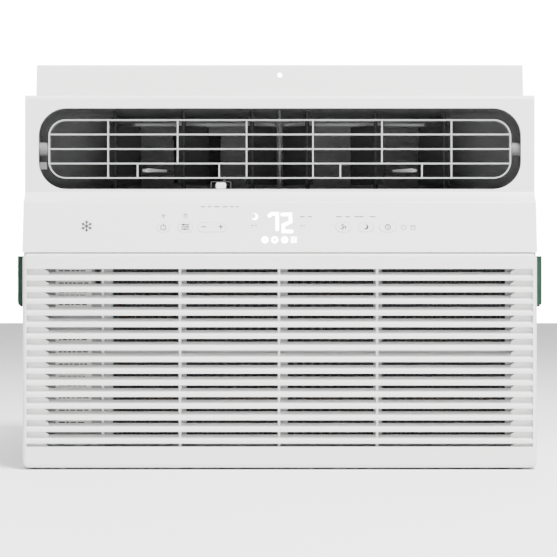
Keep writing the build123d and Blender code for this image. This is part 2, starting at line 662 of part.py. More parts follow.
with BuildPart() as filter_mesh:
    mesh_y = sum(FILTER_Y) / 2
    for pane_x in filter_columns:
        for pane_z in filter_rows:
            block(pane_x, (mesh_y - 0.3, mesh_y + 0.3), pane_z)
save("filter_mesh", filter_mesh.part)

# ================================================================ air outlet
DUCT_WALL = 1.8
DUCT_FRONT_Y = BEZEL_Y + SKIN
DUCT_STRAIGHT_Y = -223.0
DUCT_NECK_Y = -148.0
PLENUM_REAR_Y = -66.0
NECK_HALF_W = 165.0
OUTLET_LOW, OUTLET_HIGH = OUTLET_Z - OUTLET_H / 2, OUTLET_Z + OUTLET_H / 2
TILT_Y = -236.0             # louvre frame's tilt axis
LOUVRE_HALF_W, LOUVRE_HALF_H, LOUVRE_CHORD = 219.6, 28.1, 11.0
LOUVRE_BAR, LOUVRE_POST = 1.2, 1.3
PIVOT_R = 2.0
RUNNING = 0.05              # running clearance of a pivot in its hole

VANE_PIVOT_Y = -200.0
VANE_XS = {"outer": 158.5, "middle": 92.5, "inner": 26.5}
VANE_FRONT, VANE_REAR, VANE_T = 8.0, 33.0, 1.8
VANE_Z = (270.0, 326.6)
LINK_REACH, LINK_PIN_R = 28.0, 1.5
LEVER_REACH, LEVER_Z = 51.5, 282.3

SCROLL_Y = (-148.0, -80.0)
SCROLL_WALL = 1.5
SCROLL_TOP = OUTLET_LOW - DUCT_WALL
SCROLL_LEFT, SCROLL_RIGHT = -90.0, 132.0

VENT_X, VENT_Z = -55.8, 267.3
VENT_DOOR_X = (-107.0, -60.0)
VENT_DOOR_Z = (276.0, 322.0)
VENT_HOLE_X = (-103.0, -65.0)
VENT_HOLE_Z = (281.0, 317.0)
VENT_HINGE_Y, VENT_HINGE_Z = -70.6, 322.0
VENT_PIN_Y, VENT_PIN_Z, VENT_PIN_R = -74.0, 272.0, 1.2


def duct_body(grow, mode):
    """The duct's solid outline, grown outwards by one wall for the outside surface."""
    low, high = OUTLET_LOW - grow, OUTLET_HIGH + grow
    with BuildSketch(front_plane(DUCT_FRONT_Y)) as mouth:
        with Locations((0, OUTLET_Z)):
            RectangleRounded(OUTLET_W + 2 * grow, OUTLET_H + 2 * grow, OUTLET_R + grow)
    extrude(mouth.sketch, amount=DUCT_FRONT_Y - DUCT_STRAIGHT_Y, mode=mode)
    with BuildSketch(front_plane(DUCT_STRAIGHT_Y)) as wide:
        with Locations((0, OUTLET_Z)):
            RectangleRounded(OUTLET_W + 2 * grow, OUTLET_H + 2 * grow, OUTLET_R + grow)
    with BuildSketch(front_plane(DUCT_NECK_Y)) as neck:
        with Locations((0, OUTLET_Z)):
            RectangleRounded(2 * (NECK_HALF_W + grow), OUTLET_H + 2 * grow, 3 + grow)
    loft([wide.sketch.face(), neck.sketch.face()], ruled=True, mode=mode)
    half = NECK_HALF_W + grow
    block((-half, half), (DUCT_NECK_Y, PLENUM_REAR_Y - DUCT_WALL + grow), (low, high), mode)


with BuildPart() as outlet_duct:
    duct_body(DUCT_WALL, Mode.ADD)
    duct_body(0, Mode.SUBTRACT)
    # opening over the blower's discharge
    block(
        (SCROLL_LEFT + SCROLL_WALL, SCROLL_RIGHT - SCROLL_WALL),
        (SCROLL_Y[0] + SCROLL_WALL, SCROLL_Y[1] - SCROLL_WALL),
        (OUTLET_LOW - DUCT_WALL - 1, OUTLET_LOW + 1),
        Mode.SUBTRACT,
    )
    # fresh-air hole in the rear wall
    block(VENT_HOLE_X, (PLENUM_REAR_Y - 3, PLENUM_REAR_Y + 1), VENT_HOLE_Z, Mode.SUBTRACT)
    # centre stay and the small stop beside the left pivot
    block((-1, 1), (-217, -210), (OUTLET_LOW, OUTLET_HIGH))
    block((-OUTLET_W / 2 - 0.5, -OUTLET_W / 2 + 7.4), (TILT_Y - 3, TILT_Y + 3), (283.2, 289.8))
    # bosses that carry the louvre frame
    for side in (-1, 1):
        boss_end = side * (LOUVRE_HALF_W + 0.8)
        root = side * (OUTLET_W / 2 + 0.5)
        bar((root, TILT_Y, OUTLET_Z), (boss_end, TILT_Y, OUTLET_Z), 6.3)
        bar((root, TILT_Y, OUTLET_Z), (boss_end, TILT_Y, OUTLET_Z), PIVOT_R + RUNNING, Mode.SUBTRACT)
    # bearing holes of the upright vanes
    for vane_x in VANE_XS.values():
        for side in (-1, 1):
            bar(
                (side * vane_x, VANE_PIVOT_Y, OUTLET_LOW - 3),
                (side * vane_x, VANE_PIVOT_Y, OUTLET_HIGH + 3),
                PIVOT_R + RUNNING,
                Mode.SUBTRACT,
            )
    # ears for the fresh-air door
    for ear_x in (VENT_DOOR_X[0] - 3.6, VENT_DOOR_X[1] + 1.0):
        ear_z = (VENT_HINGE_Z - 3, VENT_HINGE_Z + 3)
        block((ear_x, ear_x + 2.6), (VENT_HINGE_Y - 3, PLENUM_REAR_Y - 1), ear_z)
        bar(
            (ear_x - 1, VENT_HINGE_Y, VENT_HINGE_Z),
            (ear_x + 4, VENT_HINGE_Y, VENT_HINGE_Z),
            1.5 + RUNNING,
            Mode.SUBTRACT,
        )
save("outlet_duct", outlet_duct.part)

LOUVRE_ROWS_DZ = (-27.5, -13.8, 0.0, 13.8, 27.5)
with BuildPart() as louver_frame:
    louvre_front = front_plane(TILT_Y - LOUVRE_CHORD / 2)
    with BuildSketch(louvre_front):
        with Locations((0, OUTLET_Z)):
            RectangleRounded(2 * LOUVRE_HALF_W, 2 * LOUVRE_HALF_H, 16.5)
            RectangleRounded(
                2 * (LOUVRE_HALF_W - LOUVRE_POST),
                2 * (LOUVRE_HALF_H - LOUVRE_BAR),
                15.0,
                mode=Mode.SUBTRACT,
            )
            for row_z in LOUVRE_ROWS_DZ[1:-1]:
                with Locations((0, row_z)):
                    Rectangle(2 * LOUVRE_HALF_W - 1, LOUVRE_BAR)
            for bar_x in (31.5, 163.0):
                with Locations((-bar_x, 0), (bar_x, 0)):
                    Rectangle(LOUVRE_POST, 2 * LOUVRE_HALF_H - 1)
            # short uprights: above the lever windows, and at each side of them
            low_dz, second_dz, top_dz = LOUVRE_ROWS_DZ[0], LOUVRE_ROWS_DZ[1], LOUVRE_ROWS_DZ[4]
            with Locations(*[(side * 97.0, (second_dz + top_dz) / 2) for side in (-1, 1)]):
                Rectangle(LOUVRE_POST, top_dz - second_dz)
            window_xs = (-135.0, -57.5, 57.5, 135.0)
            with Locations(*[(x, (low_dz + second_dz) / 2) for x in window_xs]):
                Rectangle(LOUVRE_POST, second_dz - low_dz)
    extrude(amount=-LOUVRE_CHORD)
    for side in (-1, 1):
        inner_end = (side * (LOUVRE_HALF_W - 1), TILT_Y, OUTLET_Z)
        bar(inner_end, (side * (OUTLET_W / 2 - 0.6), TILT_Y, OUTLET_Z), PIVOT_R)
        bar(inner_end, (side * (LOUVRE_HALF_W + 0.4), TILT_Y, OUTLET_Z), 5)
save("louver_frame", louver_frame.part)

TURN = cos(radians(45))


def vane_plane(side, pivot_x, z):
    """Plane at height z with its origin on a vane's pivot and local x running to the vane's rear edge."""
    return Plane(origin=(side * pivot_x, VANE_PIVOT_Y, z), x_dir=(-side * TURN, TURN, 0), z_dir=(0, 0, 1))


def upright_vane(side, pivot_x, stalk):
    """One air-directing vane with pivots above and below; stalk adds the root of the hand lever."""
    with BuildPart() as vane:
        with BuildSketch(vane_plane(side, pivot_x, VANE_Z[0])):
            with Locations(((VANE_REAR - VANE_FRONT) / 2, 0)):
                SlotOverall(VANE_REAR + VANE_FRONT, VANE_T)
        extrude(amount=VANE_Z[1] - VANE_Z[0])
        with BuildSketch(vane_plane(side, pivot_x, OUTLET_LOW - DUCT_WALL + 0.4)):
            Circle(PIVOT_R)
        extrude(amount=OUTLET_H + 2 * DUCT_WALL - 0.8)
        with BuildSketch(vane_plane(side, pivot_x, VANE_Z[1] - 3)):
            with Locations((LINK_REACH, 0)):
                Circle(LINK_PIN_R)
        extrude(amount=6.6)
        if stalk:
            with BuildSketch(vane_plane(side, pivot_x, LEVER_Z - 0.7)):
                with Locations((-LEVER_REACH / 2 + 5, 0)):
                    Rectangle(LEVER_REACH - 14, 2.0)
            extrude(amount=1.4)
            with BuildSketch(vane_plane(side, pivot_x, LEVER_Z - 6)):
                with Locations((-VANE_FRONT, 0)):
                    Rectangle(8, 2.0)
            extrude(amount=12)
    return vane.part


def lever_cap(side, pivot_x):
    """The light teardrop paddle pushed over the stalk of a bank's middle vane."""
    level = vane_plane(side, pivot_x, LEVER_Z)
    upright = Plane(origin=level.origin, x_dir=level.x_dir, z_dir=level.y_dir)
    with BuildPart() as cap:
        with BuildSketch(upright):
            with BuildLine():
                Polyline(
                    (-LEVER_REACH, -1.0),
                    (-LEVER_REACH, 1.0),
                    (-LEVER_REACH + 2, 1.8),
                    (-LEVER_REACH + 27, 1.2),
                    (-LEVER_REACH + 27, -1.2),
                    (-LEVER_REACH + 2, -1.8),
                    close=True,
                )
            make_face()
        extrude(amount=2.6, both=True)
        with BuildSketch(level):
            with Locations((-LEVER_REACH / 2 + 5, 0)):
                Rectangle(LEVER_REACH - 14, 2.0)
        extrude(amount=0.7, both=True, mode=Mode.SUBTRACT)
    return cap.part


def link_rod(side):
    """The flat rod that makes one bank's three vanes turn together."""
    with BuildPart() as rod:
        ends = [side * x - side * TURN * LINK_REACH for x in VANE_XS.values()]
        rod_y = VANE_PIVOT_Y + TURN * LINK_REACH
        with BuildSketch(Plane.XY.offset(VANE_Z[1] + 0.6)):
            with Locations(((ends[0] + ends[2]) / 2, rod_y)):
                SlotOverall(abs(ends[0] - ends[2]) + 6, 6)
            with Locations(*[(x, rod_y) for x in ends]):
                Circle(LINK_PIN_R + 0.08, mode=Mode.SUBTRACT)
        extrude(amount=2.6)
    return rod.part


for side_name, side in (("left", -1), ("right", 1)):
    for place, pivot_x in VANE_XS.items():
        save(f"{side_name}_vane_{place}", upright_vane(side, pivot_x, place == "middle"))
    save(f"{side_name}_lever_cap", lever_cap(side, VANE_XS["middle"]))
    save(f"{side_name}_link_rod", link_rod(side))

# fresh-air vent: a pull knob at the lip of the outlet works a flap in the plenum's rear wall
VENT_KNOB_Y = (-247.0, -239.0)
with BuildPart() as vent_pull:
    with BuildSketch(front_plane(VENT_KNOB_Y[0])):
        with Locations((VENT_X, VENT_Z)):
            RectangleRounded(9.4, 5.8, 1.6)
    extrude(amount=VENT_KNOB_Y[0] - VENT_KNOB_Y[1])
    fillet(vent_pull.faces().sort_by(Axis.Y)[0].edges(), radius=0.8)
    block((VENT_X - 1.5, VENT_X + 1.5), (VENT_KNOB_Y[1], VENT_PIN_Y + 1), (VENT_Z - 1.2, VENT_Z + 1.2))
    block((VENT_X - 1.5, VENT_X + 1.5), (VENT_PIN_Y - 3.6, VENT_PIN_Y + 3.2), (VENT_Z - 1.2, 282.5))
    block((VENT_X - 2, VENT_X + 2), (VENT_PIN_Y - 1.65, VENT_PIN_Y + 1.65), (270.2, 279.8), Mode.SUBTRACT)
save("vent_pull", vent_pull.part)

with BuildPart() as vent_guide:
    block((VENT_X - 9.8, VENT_X + 9.8), (-243, -229), (OUTLET_LOW, 271.6))
    fillet(vent_guide.edges().filter_by(Axis.Y).group_by(Axis.Z)[-1], radius=1.5)
    block((VENT_X - 8.8, VENT_X + 8.8), (-244, -228), (OUTLET_LOW - 1, 270.8), Mode.SUBTRACT)
    block((VENT_X - 6, VENT_X + 6), (-160, -151), (OUTLET_LOW, 269.9))
    block((VENT_X - 1.7, VENT_X + 1.7), (-161, -150), (OUTLET_LOW - 1, VENT_Z + 1.4), Mode.SUBTRACT)
save("vent_guide", vent_guide.part)

with BuildPart() as vent_door:
    block(VENT_DOOR_X, (-69.8, -68.2), VENT_DOOR_Z)
    bar(
        (VENT_DOOR_X[0] - 3.4, VENT_HINGE_Y, VENT_HINGE_Z),
        (VENT_DOOR_X[1] + 3.4, VENT_HINGE_Y, VENT_HINGE_Z),
        1.5,
    )
    arm_z = (VENT_PIN_Z - 1.2, VENT_DOOR_Z[0] + 2)
    block((VENT_DOOR_X[1] - 3, VENT_DOOR_X[1]), (VENT_PIN_Y - 1.2, -68.2), arm_z)
    bar((VENT_DOOR_X[1] - 1, VENT_PIN_Y, VENT_PIN_Z), (VENT_X + 3, VENT_PIN_Y, VENT_PIN_Z), VENT_PIN_R)
save("vent_door", vent_door.part)

# ================================================================ electrical compartment
BOX_X, BOX_Y, BOX_Z = (-230.0, -160.5), (-248.0, -112.0), (30.0, 238.0)
BOX_SHEET = 1.2
with BuildPart() as control_box:
    block(BOX_X, BOX_Y, BOX_Z)
    front_face = control_box.faces().sort_by(Axis.Y)[0]
    offset(amount=-BOX_SHEET, openings=front_face)
    # feet down to the base pan
    for foot_y in (-240.0, -130.0):
        block((BOX_X[0] + 6, BOX_X[1] - 6), (foot_y, foot_y + BOX_SHEET), (PAN_WALL, BOX_Z[0] + 0.2))
save("control_box", control_box.part)

with BuildPart() as control_cover:
    block(BOX_X, (BOX_Y[0] - BOX_SHEET, BOX_Y[0]), (20.0, BOX_Z[1]))
    for port_z in (slot_zs[0], slot_zs[1]):
        block((-174.4, -169.6), (BOX_Y[0] - 3, BOX_Y[0] + 1), (port_z - 2.4, port_z + 2.4), Mode.SUBTRACT)
save("control_cover", control_cover.part)

BOARD_X = BOX_X[1] - 14
with BuildPart() as control_board:
    block((BOARD_X - BOARD_T, BOARD_X), (-240, -120), (50, 170))
    # relays, transformer, terminal strip, controller and connector block
    board_face = BOARD_X - BOARD_T
    for relay_y in (-222.0, -196.0):
        block((board_face - 15, board_face), (relay_y - 10, relay_y + 10), (58, 74))
    block((board_face - 26, board_face), (-175, -141), (61, 91))
    block((board_face - 9, board_face), (-235, -205), (115, 125))
    block((board_face - 4, board_face), (-190, -166), (108, 132))
    block((board_face - 12, board_face), (-148, -132), (110, 150))
    # stand-off posts to the wall of the box
    for post_y in (-234.0, -126.0):
        for post_z in (56.0, 164.0):
            bar((BOARD_X, post_y, post_z), (BOX_X[1] - BOX_SHEET, post_y, post_z), 2.5)
save("control_board", control_board.part)

CAPACITOR_X, CAPACITOR_Z = -200.0, 205.0
with BuildPart() as run_capacitor:
    bar((CAPACITOR_X, -225, CAPACITOR_Z), (CAPACITOR_X, -140, CAPACITOR_Z), 21)
    fillet(run_capacitor.edges().filter_by(GeomType.CIRCLE), radius=2)
    for tab_x in (-8.0, 0.0, 8.0):
        block(
            (CAPACITOR_X + tab_x - 0.4, CAPACITOR_X + tab_x + 0.4),
            (-235, -224),
            (CAPACITOR_Z - 3, CAPACITOR_Z + 3),
        )
    block((BOX_X[0] + BOX_SHEET, CAPACITOR_X), (-190, -176), (CAPACITOR_Z - 1, CAPACITOR_Z + 1))
save("run_capacitor", run_capacitor.part)

# ================================================================ indoor section
TUBE_R = 4.0
TUBE_PITCH = 25.4
BEND_R = 12.6
EVAP_X = (-138.0, 210.0)
EVAP_Y = (-225.0, -185.0)
EVAP_ROWS = (-217.7, -192.3)
EVAP_LOW_Z, EVAP_PASSES = 40.0, 8
EVAP_FINS = 44
FIN_T = 0.8
SHEET_T = 1.2
COND_X = (-206.0, 206.0)
COND_Y = (224.0, 262.0)
COND_ROWS = (230.3, 255.7)
COND_LOW_Z, COND_PASSES = 25.6, 12
COND_FINS = 52


def pass_heights(low_z, passes):
    """Centre heights of a coil's straight passes, from the lowest up."""
    return [low_z + i * TUBE_PITCH for i in range(passes)]


def fin_pack(limits_x, limits_y, limits_z, rows, heights, count):
    """A coil's fins and end sheets: a core pierced for the tubes, with fin edges standing out of it."""
    mid_x, mid_y = sum(limits_x) / 2, sum(limits_y) / 2
    length, depth = limits_x[1] - limits_x[0], limits_y[1] - limits_y[0]
    with BuildPart() as fins:
        with BuildSketch(Plane.XY.offset(limits_z[0])):
            with Locations((mid_x, mid_y)):
                Rectangle(length, rows[1] - rows[0] + 2 * TUBE_R + 3)
                with GridLocations((length - FIN_T) / (count - 1), 1, count, 1):
                    Rectangle(FIN_T, depth)
        extrude(amount=limits_z[1] - limits_z[0])
        # end sheets, which stand on the base pan
        for sheet_x in (limits_x[0] - SHEET_T / 2, limits_x[1] + SHEET_T / 2):
            sheet = (sheet_x - SHEET_T / 2, sheet_x + SHEET_T / 2)
            block(sheet, limits_y, (PAN_WALL, limits_z[1] + 2))
        with BuildSketch(Plane.YZ.offset(limits_x[0] - SHEET_T)):
            with Locations(*[(y, z) for y in rows for z in heights]):
                Circle(TUBE_R)
        extrude(amount=length + 2 * SHEET_T, mode=Mode.SUBTRACT)
    return fins.part


def coil(limits_x, rows, heights, end_side):
    """One continuous serpentine through both rows, with both of its ends at end_side."""
    near = limits_x[1] if end_side > 0 else limits_x[0]
    far = limits_x[0] if end_side > 0 else limits_x[1]
    turn_near, turn_far = near + end_side * (BEND_R + 2), far - end_side * (BEND_R + 2)
    points = [(near + end_side * 2, rows[0], heights[0])]
    for row_y, row_heights in ((rows[0], heights), (rows[1], heights[::-1])):
        for i, z in enumerate(row_heights):
            first, last = (turn_near, turn_far) if i % 2 == 0 else (turn_far, turn_near)
            points += [(first, row_y, z), (last, row_y, z)]
    points.pop(1)
    points.pop()
    points.append((near + end_side * 2, rows[1], heights[0]))
    return tube_along(points, BEND_R, TUBE_R)


evap_heights = pass_heights(EVAP_LOW_Z, EVAP_PASSES)
save("evaporator_fins", fin_pack(EVAP_X, EVAP_Y, (24.0, 230.0), EVAP_ROWS, evap_heights, EVAP_FINS))
save("evaporator_coil", coil(EVAP_X, EVAP_ROWS, evap_heights, 1))

# volute round the blower wheel, discharging up into the plenum
TONGUE_ANGLE, SPIRAL_SWEEP, SPIRAL_STEPS = 40.0, 220.0, 22
TONGUE_R, SPIRAL_END_R = 101.0, SHAFT_X - SCROLL_LEFT


def volute_outline(inset, top_z):
    """The volute's wall as points: down the right side, round the wheel and up the left side."""
    points = [(SCROLL_RIGHT - inset, top_z)]
    for step in range(SPIRAL_STEPS + 1):
        angle = radians(TONGUE_ANGLE - SPIRAL_SWEEP * step / SPIRAL_STEPS)
        reach = TONGUE_R - inset + (SPIRAL_END_R - TONGUE_R) * step / SPIRAL_STEPS
        points.append((SHAFT_X + reach * cos(angle), SHAFT_Z + reach * sin(angle)))
    return points + [(SCROLL_LEFT + inset, top_z)]


with BuildPart() as blower_scroll:
    with BuildSketch(front_plane(SCROLL_Y[0])):
        Polygon(*volute_outline(0, SCROLL_TOP), align=None)
    extrude(amount=SCROLL_Y[0] - SCROLL_Y[1])
    # feet down to the base pan
    for foot_x in (SHAFT_X - 60, SHAFT_X + 56):
        block((foot_x, foot_x + 4), (SCROLL_Y[0] + 4, SCROLL_Y[1] - 4), (PAN_WALL, 60))
    with BuildSketch(front_plane(SCROLL_Y[0] + SCROLL_WALL)):
        Polygon(*volute_outline(SCROLL_WALL, SCROLL_TOP + 1), align=None)
    extrude(amount=SCROLL_Y[0] - SCROLL_Y[1] + 2 * SCROLL_WALL, mode=Mode.SUBTRACT)
    bar((SHAFT_X, SCROLL_Y[0] - 1, SHAFT_Z), (SHAFT_X, SCROLL_Y[0] + 3, SHAFT_Z), 76, Mode.SUBTRACT)
    bar((SHAFT_X, SCROLL_Y[1] - 3, SHAFT_Z), (SHAFT_X, SCROLL_Y[1] + 1, SHAFT_Z), 16, Mode.SUBTRACT)
save("blower_scroll", blower_scroll.part)

BLOWER_Y = (-142.0, -88.0)
BLOWER_R = 94.0
BLADES = 34
with BuildPart() as blower_wheel:
    at_shaft = (SHAFT_X, SHAFT_Z)
    with BuildSketch(front_plane(BLOWER_Y[0] + 0.8)):
        with Locations(at_shaft):
            with PolarLocations(BLOWER_R - 6.6, BLADES):
                Rectangle(13, 1.0, rotation=32)
    extrude(amount=BLOWER_Y[0] - BLOWER_Y[1] + 1.6)
    with BuildSketch(front_plane(BLOWER_Y[0])):
        with Locations(at_shaft):
            Circle(BLOWER_R)
            Circle(BLOWER_R - 15, mode=Mode.SUBTRACT)
    extrude(amount=-1.5)
    with BuildSketch(front_plane(BLOWER_Y[1])):
        with Locations(at_shaft):
            Circle(BLOWER_R)
    extrude(amount=1.5)
    bar((SHAFT_X, BLOWER_Y[1] - 22, SHAFT_Z), (SHAFT_X, BLOWER_Y[1], SHAFT_Z), 13)
    bar((SHAFT_X, BLOWER_Y[1] - 23, SHAFT_Z), (SHAFT_X, BLOWER_Y[1] + 1, SHAFT_Z), SHAFT_R, Mode.SUBTRACT)
save("blower_wheel", blower_wheel.part)

# ================================================================ partition, motor and outdoor fan
BULKHEAD_Y = -64.0
LINE_X = 225.0
SUCTION_R, SUCTION_TOP = 4.8, 240.0
CAPILLARY_R, CAPILLARY_Z, CAPILLARY_X = 1.2, 52.0, 232.0
with BuildPart() as bulkhead:
    block((-236.2, 236.2), (BULKHEAD_Y, BULKHEAD_Y + SHEET), (PAN_WALL, CAB_TOP - SHEET - 0.3))
    lower_corners = bulkhead.edges().filter_by(Axis.Y).group_by(Axis.Z)[-1]
    fillet(lower_corners, radius=5)
    for side in (-1, 1):
        rim = side * (PAN_HALF_W - PAN_WALL)
        block(
            (min(rim, side * 238), max(rim, side * 238)),
            (BULKHEAD_Y - 1, BULKHEAD_Y + 2),
            (0, PAN_HEIGHT + 0.3),
            Mode.SUBTRACT,
        )
    block(VENT_HOLE_X, (BULKHEAD_Y - 1, BULKHEAD_Y + 2), VENT_HOLE_Z, Mode.SUBTRACT)
    for hole_x, hole_z, hole_r in (
        (SHAFT_X, SHAFT_Z, 12.0),
        (LINE_X, SUCTION_TOP, SUCTION_R + 2),
        (CAPILLARY_X, CAPILLARY_Z, CAPILLARY_R + 2),
        (-180.0, 60.0, 10.0),
    ):
        bar((hole_x, BULKHEAD_Y - 1, hole_z), (hole_x, BULKHEAD_Y + 2, hole_z), hole_r, Mode.SUBTRACT)
save("bulkhead", bulkhead.part)

MOTOR_Y = (-44.0, 42.0)
with BuildPart() as fan_motor:
    bar((SHAFT_X, MOTOR_Y[0], SHAFT_Z), (SHAFT_X, MOTOR_Y[1], SHAFT_Z), 55)
    fillet(fan_motor.edges().filter_by(GeomType.CIRCLE), radius=9)
    bar((SHAFT_X, -10, SHAFT_Z), (SHAFT_X, 8, SHAFT_Z), 58)
    bar((SHAFT_X, MOTOR_Y[0] - 6, SHAFT_Z), (SHAFT_X, MOTOR_Y[1] + 6, SHAFT_Z), 16)
    bar((SHAFT_X, MOTOR_Y[0] - 7, SHAFT_Z), (SHAFT_X, MOTOR_Y[1] + 7, SHAFT_Z), SHAFT_R + 0.05, Mode.SUBTRACT)
save("fan_motor", fan_motor.part)

with BuildPart() as motor_bracket:
    with BuildSketch(front_plane(MOTOR_Y[1] + 6)):
        with BuildLine():
            Polyline(
                (SHAFT_X - 75, PAN_WALL),
                (SHAFT_X - 40, SHAFT_Z + 40),
                (SHAFT_X + 40, SHAFT_Z + 40),
                (SHAFT_X + 75, PAN_WALL),
                close=True,
            )
        outline = make_face()
        fillet(outline.vertices().group_by(Axis.Z)[-1], radius=15)
        with Locations((SHAFT_X, SHAFT_Z)):
            Circle(SHAFT_R + 4, mode=Mode.SUBTRACT)
        with Locations((SHAFT_X, 50)):
            RectangleRounded(60, 46, 8, mode=Mode.SUBTRACT)
    extrude(amount=-2)
    block((SHAFT_X - 75, SHAFT_X + 75), (MOTOR_Y[1] + 6, MOTOR_Y[1] + 34), (PAN_WALL, PAN_WALL + 2))
save("motor_bracket", motor_bracket.part)

FAN_Y = 156.0
with BuildPart() as motor_shaft:
    bar((SHAFT_X, BLOWER_Y[1] - 26, SHAFT_Z), (SHAFT_X, FAN_Y + 24, SHAFT_Z), SHAFT_R)
    chamfer(motor_shaft.edges().filter_by(GeomType.CIRCLE), length=0.8)
save("motor_shaft", motor_shaft.part)

FAN_R, FAN_BLADES, FAN_PITCH = 126.0, 5, 27.0
with BuildPart() as condenser_fan:
    bar((SHAFT_X, FAN_Y - 16, SHAFT_Z), (SHAFT_X, FAN_Y + 16, SHAFT_Z), 27)
    fillet(condenser_fan.edges().filter_by(GeomType.CIRCLE), radius=3)
    for i in range(FAN_BLADES):
        angle = radians(90 + 360 * i / FAN_BLADES)
        lean = radians(FAN_PITCH)
        radial = (cos(angle), 0, sin(angle))
        facing = (-sin(angle) * sin(lean), cos(lean), cos(angle) * sin(lean))
        with BuildSketch(Plane(origin=(SHAFT_X, FAN_Y, SHAFT_Z), x_dir=radial, z_dir=facing)):
            with BuildLine():
                Spline((20, -12), (60, -27), (105, -36), (124, -28))
                Line((124, -28), (124, 24))
                Spline((124, 24), (100, 31), (60, 24), (20, 12))
                Line((20, 12), (20, -12))
            make_face()
        extrude(amount=1.0, both=True)
    # slinger ring that lifts condensate on to the coil
    with BuildSketch(front_plane(FAN_Y - 5)):
        with Locations((SHAFT_X, SHAFT_Z)):
            Circle(FAN_R + 2)
            Circle(FAN_R - 3, mode=Mode.SUBTRACT)
    extrude(amount=-10)
    bar((SHAFT_X, FAN_Y - 20, SHAFT_Z), (SHAFT_X, FAN_Y + 20, SHAFT_Z), SHAFT_R, Mode.SUBTRACT)
save("condenser_fan", condenser_fan.part)

SHROUD_Y = (176.0, 222.0)
ORIFICE_R = 134.0
with BuildPart() as fan_shroud:
    block(COND_X, SHROUD_Y, (PAN_WALL + 2, 320))
    block(
        (COND_X[0] + 1.5, COND_X[1] - 1.5),
        (SHROUD_Y[0] + 1.5, SHROUD_Y[1] + 1),
        (PAN_WALL + 3.5, 318.5),
        Mode.SUBTRACT,
    )
    bar((SHAFT_X, SHROUD_Y[0] - 30, SHAFT_Z), (SHAFT_X, SHROUD_Y[0] + 0.5, SHAFT_Z), ORIFICE_R + 1.5)
    bar((SHAFT_X, SHROUD_Y[0] - 31, SHAFT_Z), (SHAFT_X, SHROUD_Y[0] + 2, SHAFT_Z), ORIFICE_R, Mode.SUBTRACT)
save("fan_shroud", fan_shroud.part)

cond_heights = pass_heights(COND_LOW_Z, COND_PASSES)[::-1]
save("condenser_fins", fin_pack(COND_X, COND_Y, (10.0, 320.0), COND_ROWS, cond_heights, COND_FINS))
save("condenser_coil", coil(COND_X, COND_ROWS, cond_heights, -1))

# ================================================================ compressor and pipework
FOOT_Z, FOOT_T = 13.0, 3.0
CAN_TOP = 252.0
with BuildPart() as compressor:
    with BuildSketch(Plane.XY.offset(FOOT_Z)):
        with Locations((COMPRESSOR_X, COMPRESSOR_Y)):
            Circle(46)
        for foot_x, foot_y in foot_points:
            with Locations((foot_x, foot_y)):
                Circle(15)
            with Locations(((COMPRESSOR_X + foot_x) / 2, (COMPRESSOR_Y + foot_y) / 2)):
                heading = degrees(atan2(foot_y - COMPRESSOR_Y, foot_x - COMPRESSOR_X))
                Rectangle(FOOT_RING, 26, rotation=heading)
        with Locations(*foot_points):
            Circle(8, mode=Mode.SUBTRACT)
    extrude(amount=FOOT_T)
    can_top = (COMPRESSOR_X, COMPRESSOR_Y, CAN_TOP)
    bar((COMPRESSOR_X, COMPRESSOR_Y, FOOT_Z + FOOT_T), can_top, COMPRESSOR_R - 3)
    fillet(compressor.edges().filter_by(GeomType.CIRCLE).group_by(Axis.Z)[-1], radius=22)
    bar((COMPRESSOR_X, COMPRESSOR_Y, 140), (COMPRESSOR_X, COMPRESSOR_Y, 150), COMPRESSOR_R)
save("compressor", compressor.part)

PAD_TOP = PAN_WALL + 5
with BuildPart() as compressor_grommets:
    for foot_x, foot_y in foot_points:
        bar((foot_x, foot_y, PAD_TOP), (foot_x, foot_y, FOOT_Z), 12)
        bar((foot_x, foot_y, FOOT_Z), (foot_x, foot_y, FOOT_Z + FOOT_T), 8)
        bar((foot_x, foot_y, FOOT_Z + FOOT_T), (foot_x, foot_y, FOOT_Z + FOOT_T + 4), 11)
        bar((foot_x, foot_y, PAD_TOP - 1), (foot_x, foot_y, FOOT_Z + 9), 4, Mode.SUBTRACT)
save("compressor_grommets", compressor_grommets.part)

with BuildPart() as compressor_studs:
    for foot_x, foot_y in foot_points:
        bar((foot_x, foot_y, PAD_TOP), (foot_x, foot_y, FOOT_Z + FOOT_T + 16), 4)
        bar((foot_x, foot_y, FOOT_Z + FOOT_T + 4), (foot_x, foot_y, FOOT_Z + FOOT_T + 5.6), 9)
        with BuildSketch(Plane.XY.offset(FOOT_Z + FOOT_T + 5.6)):
            with Locations((foot_x, foot_y)):
                RegularPolygon(7, 6)
        extrude(amount=6)
save("compressor_studs", compressor_studs.part)

with BuildPart() as terminal_cover:
    block((COMPRESSOR_X - 22, COMPRESSOR_X + 22), (-12, 22), (170, 225))
    fillet(terminal_cover.faces().sort_by(Axis.Y)[0].edges(), radius=6)
    bar((COMPRESSOR_X, COMPRESSOR_Y, 160), (COMPRESSOR_X, COMPRESSOR_Y, 230), COMPRESSOR_R - 3, Mode.SUBTRACT)
save("terminal_cover", terminal_cover.part)

ACCUM_X, ACCUM_Z = -68.0, (80.0, 200.0)
with BuildPart() as accumulator:
    bar((ACCUM_X, COMPRESSOR_Y, ACCUM_Z[0]), (ACCUM_X, COMPRESSOR_Y, ACCUM_Z[1]), 20)
    fillet(accumulator.edges().filter_by(GeomType.CIRCLE), radius=9)
    can_side = COMPRESSOR_X + COMPRESSOR_R - 3
    elbow = [
        (ACCUM_X, COMPRESSOR_Y, ACCUM_Z[0] + 1),
        (ACCUM_X, COMPRESSOR_Y, 52),
        (can_side, COMPRESSOR_Y, 52),
    ]
    add(tube_along(elbow, 14, 4.8))
save("accumulator", accumulator.part)

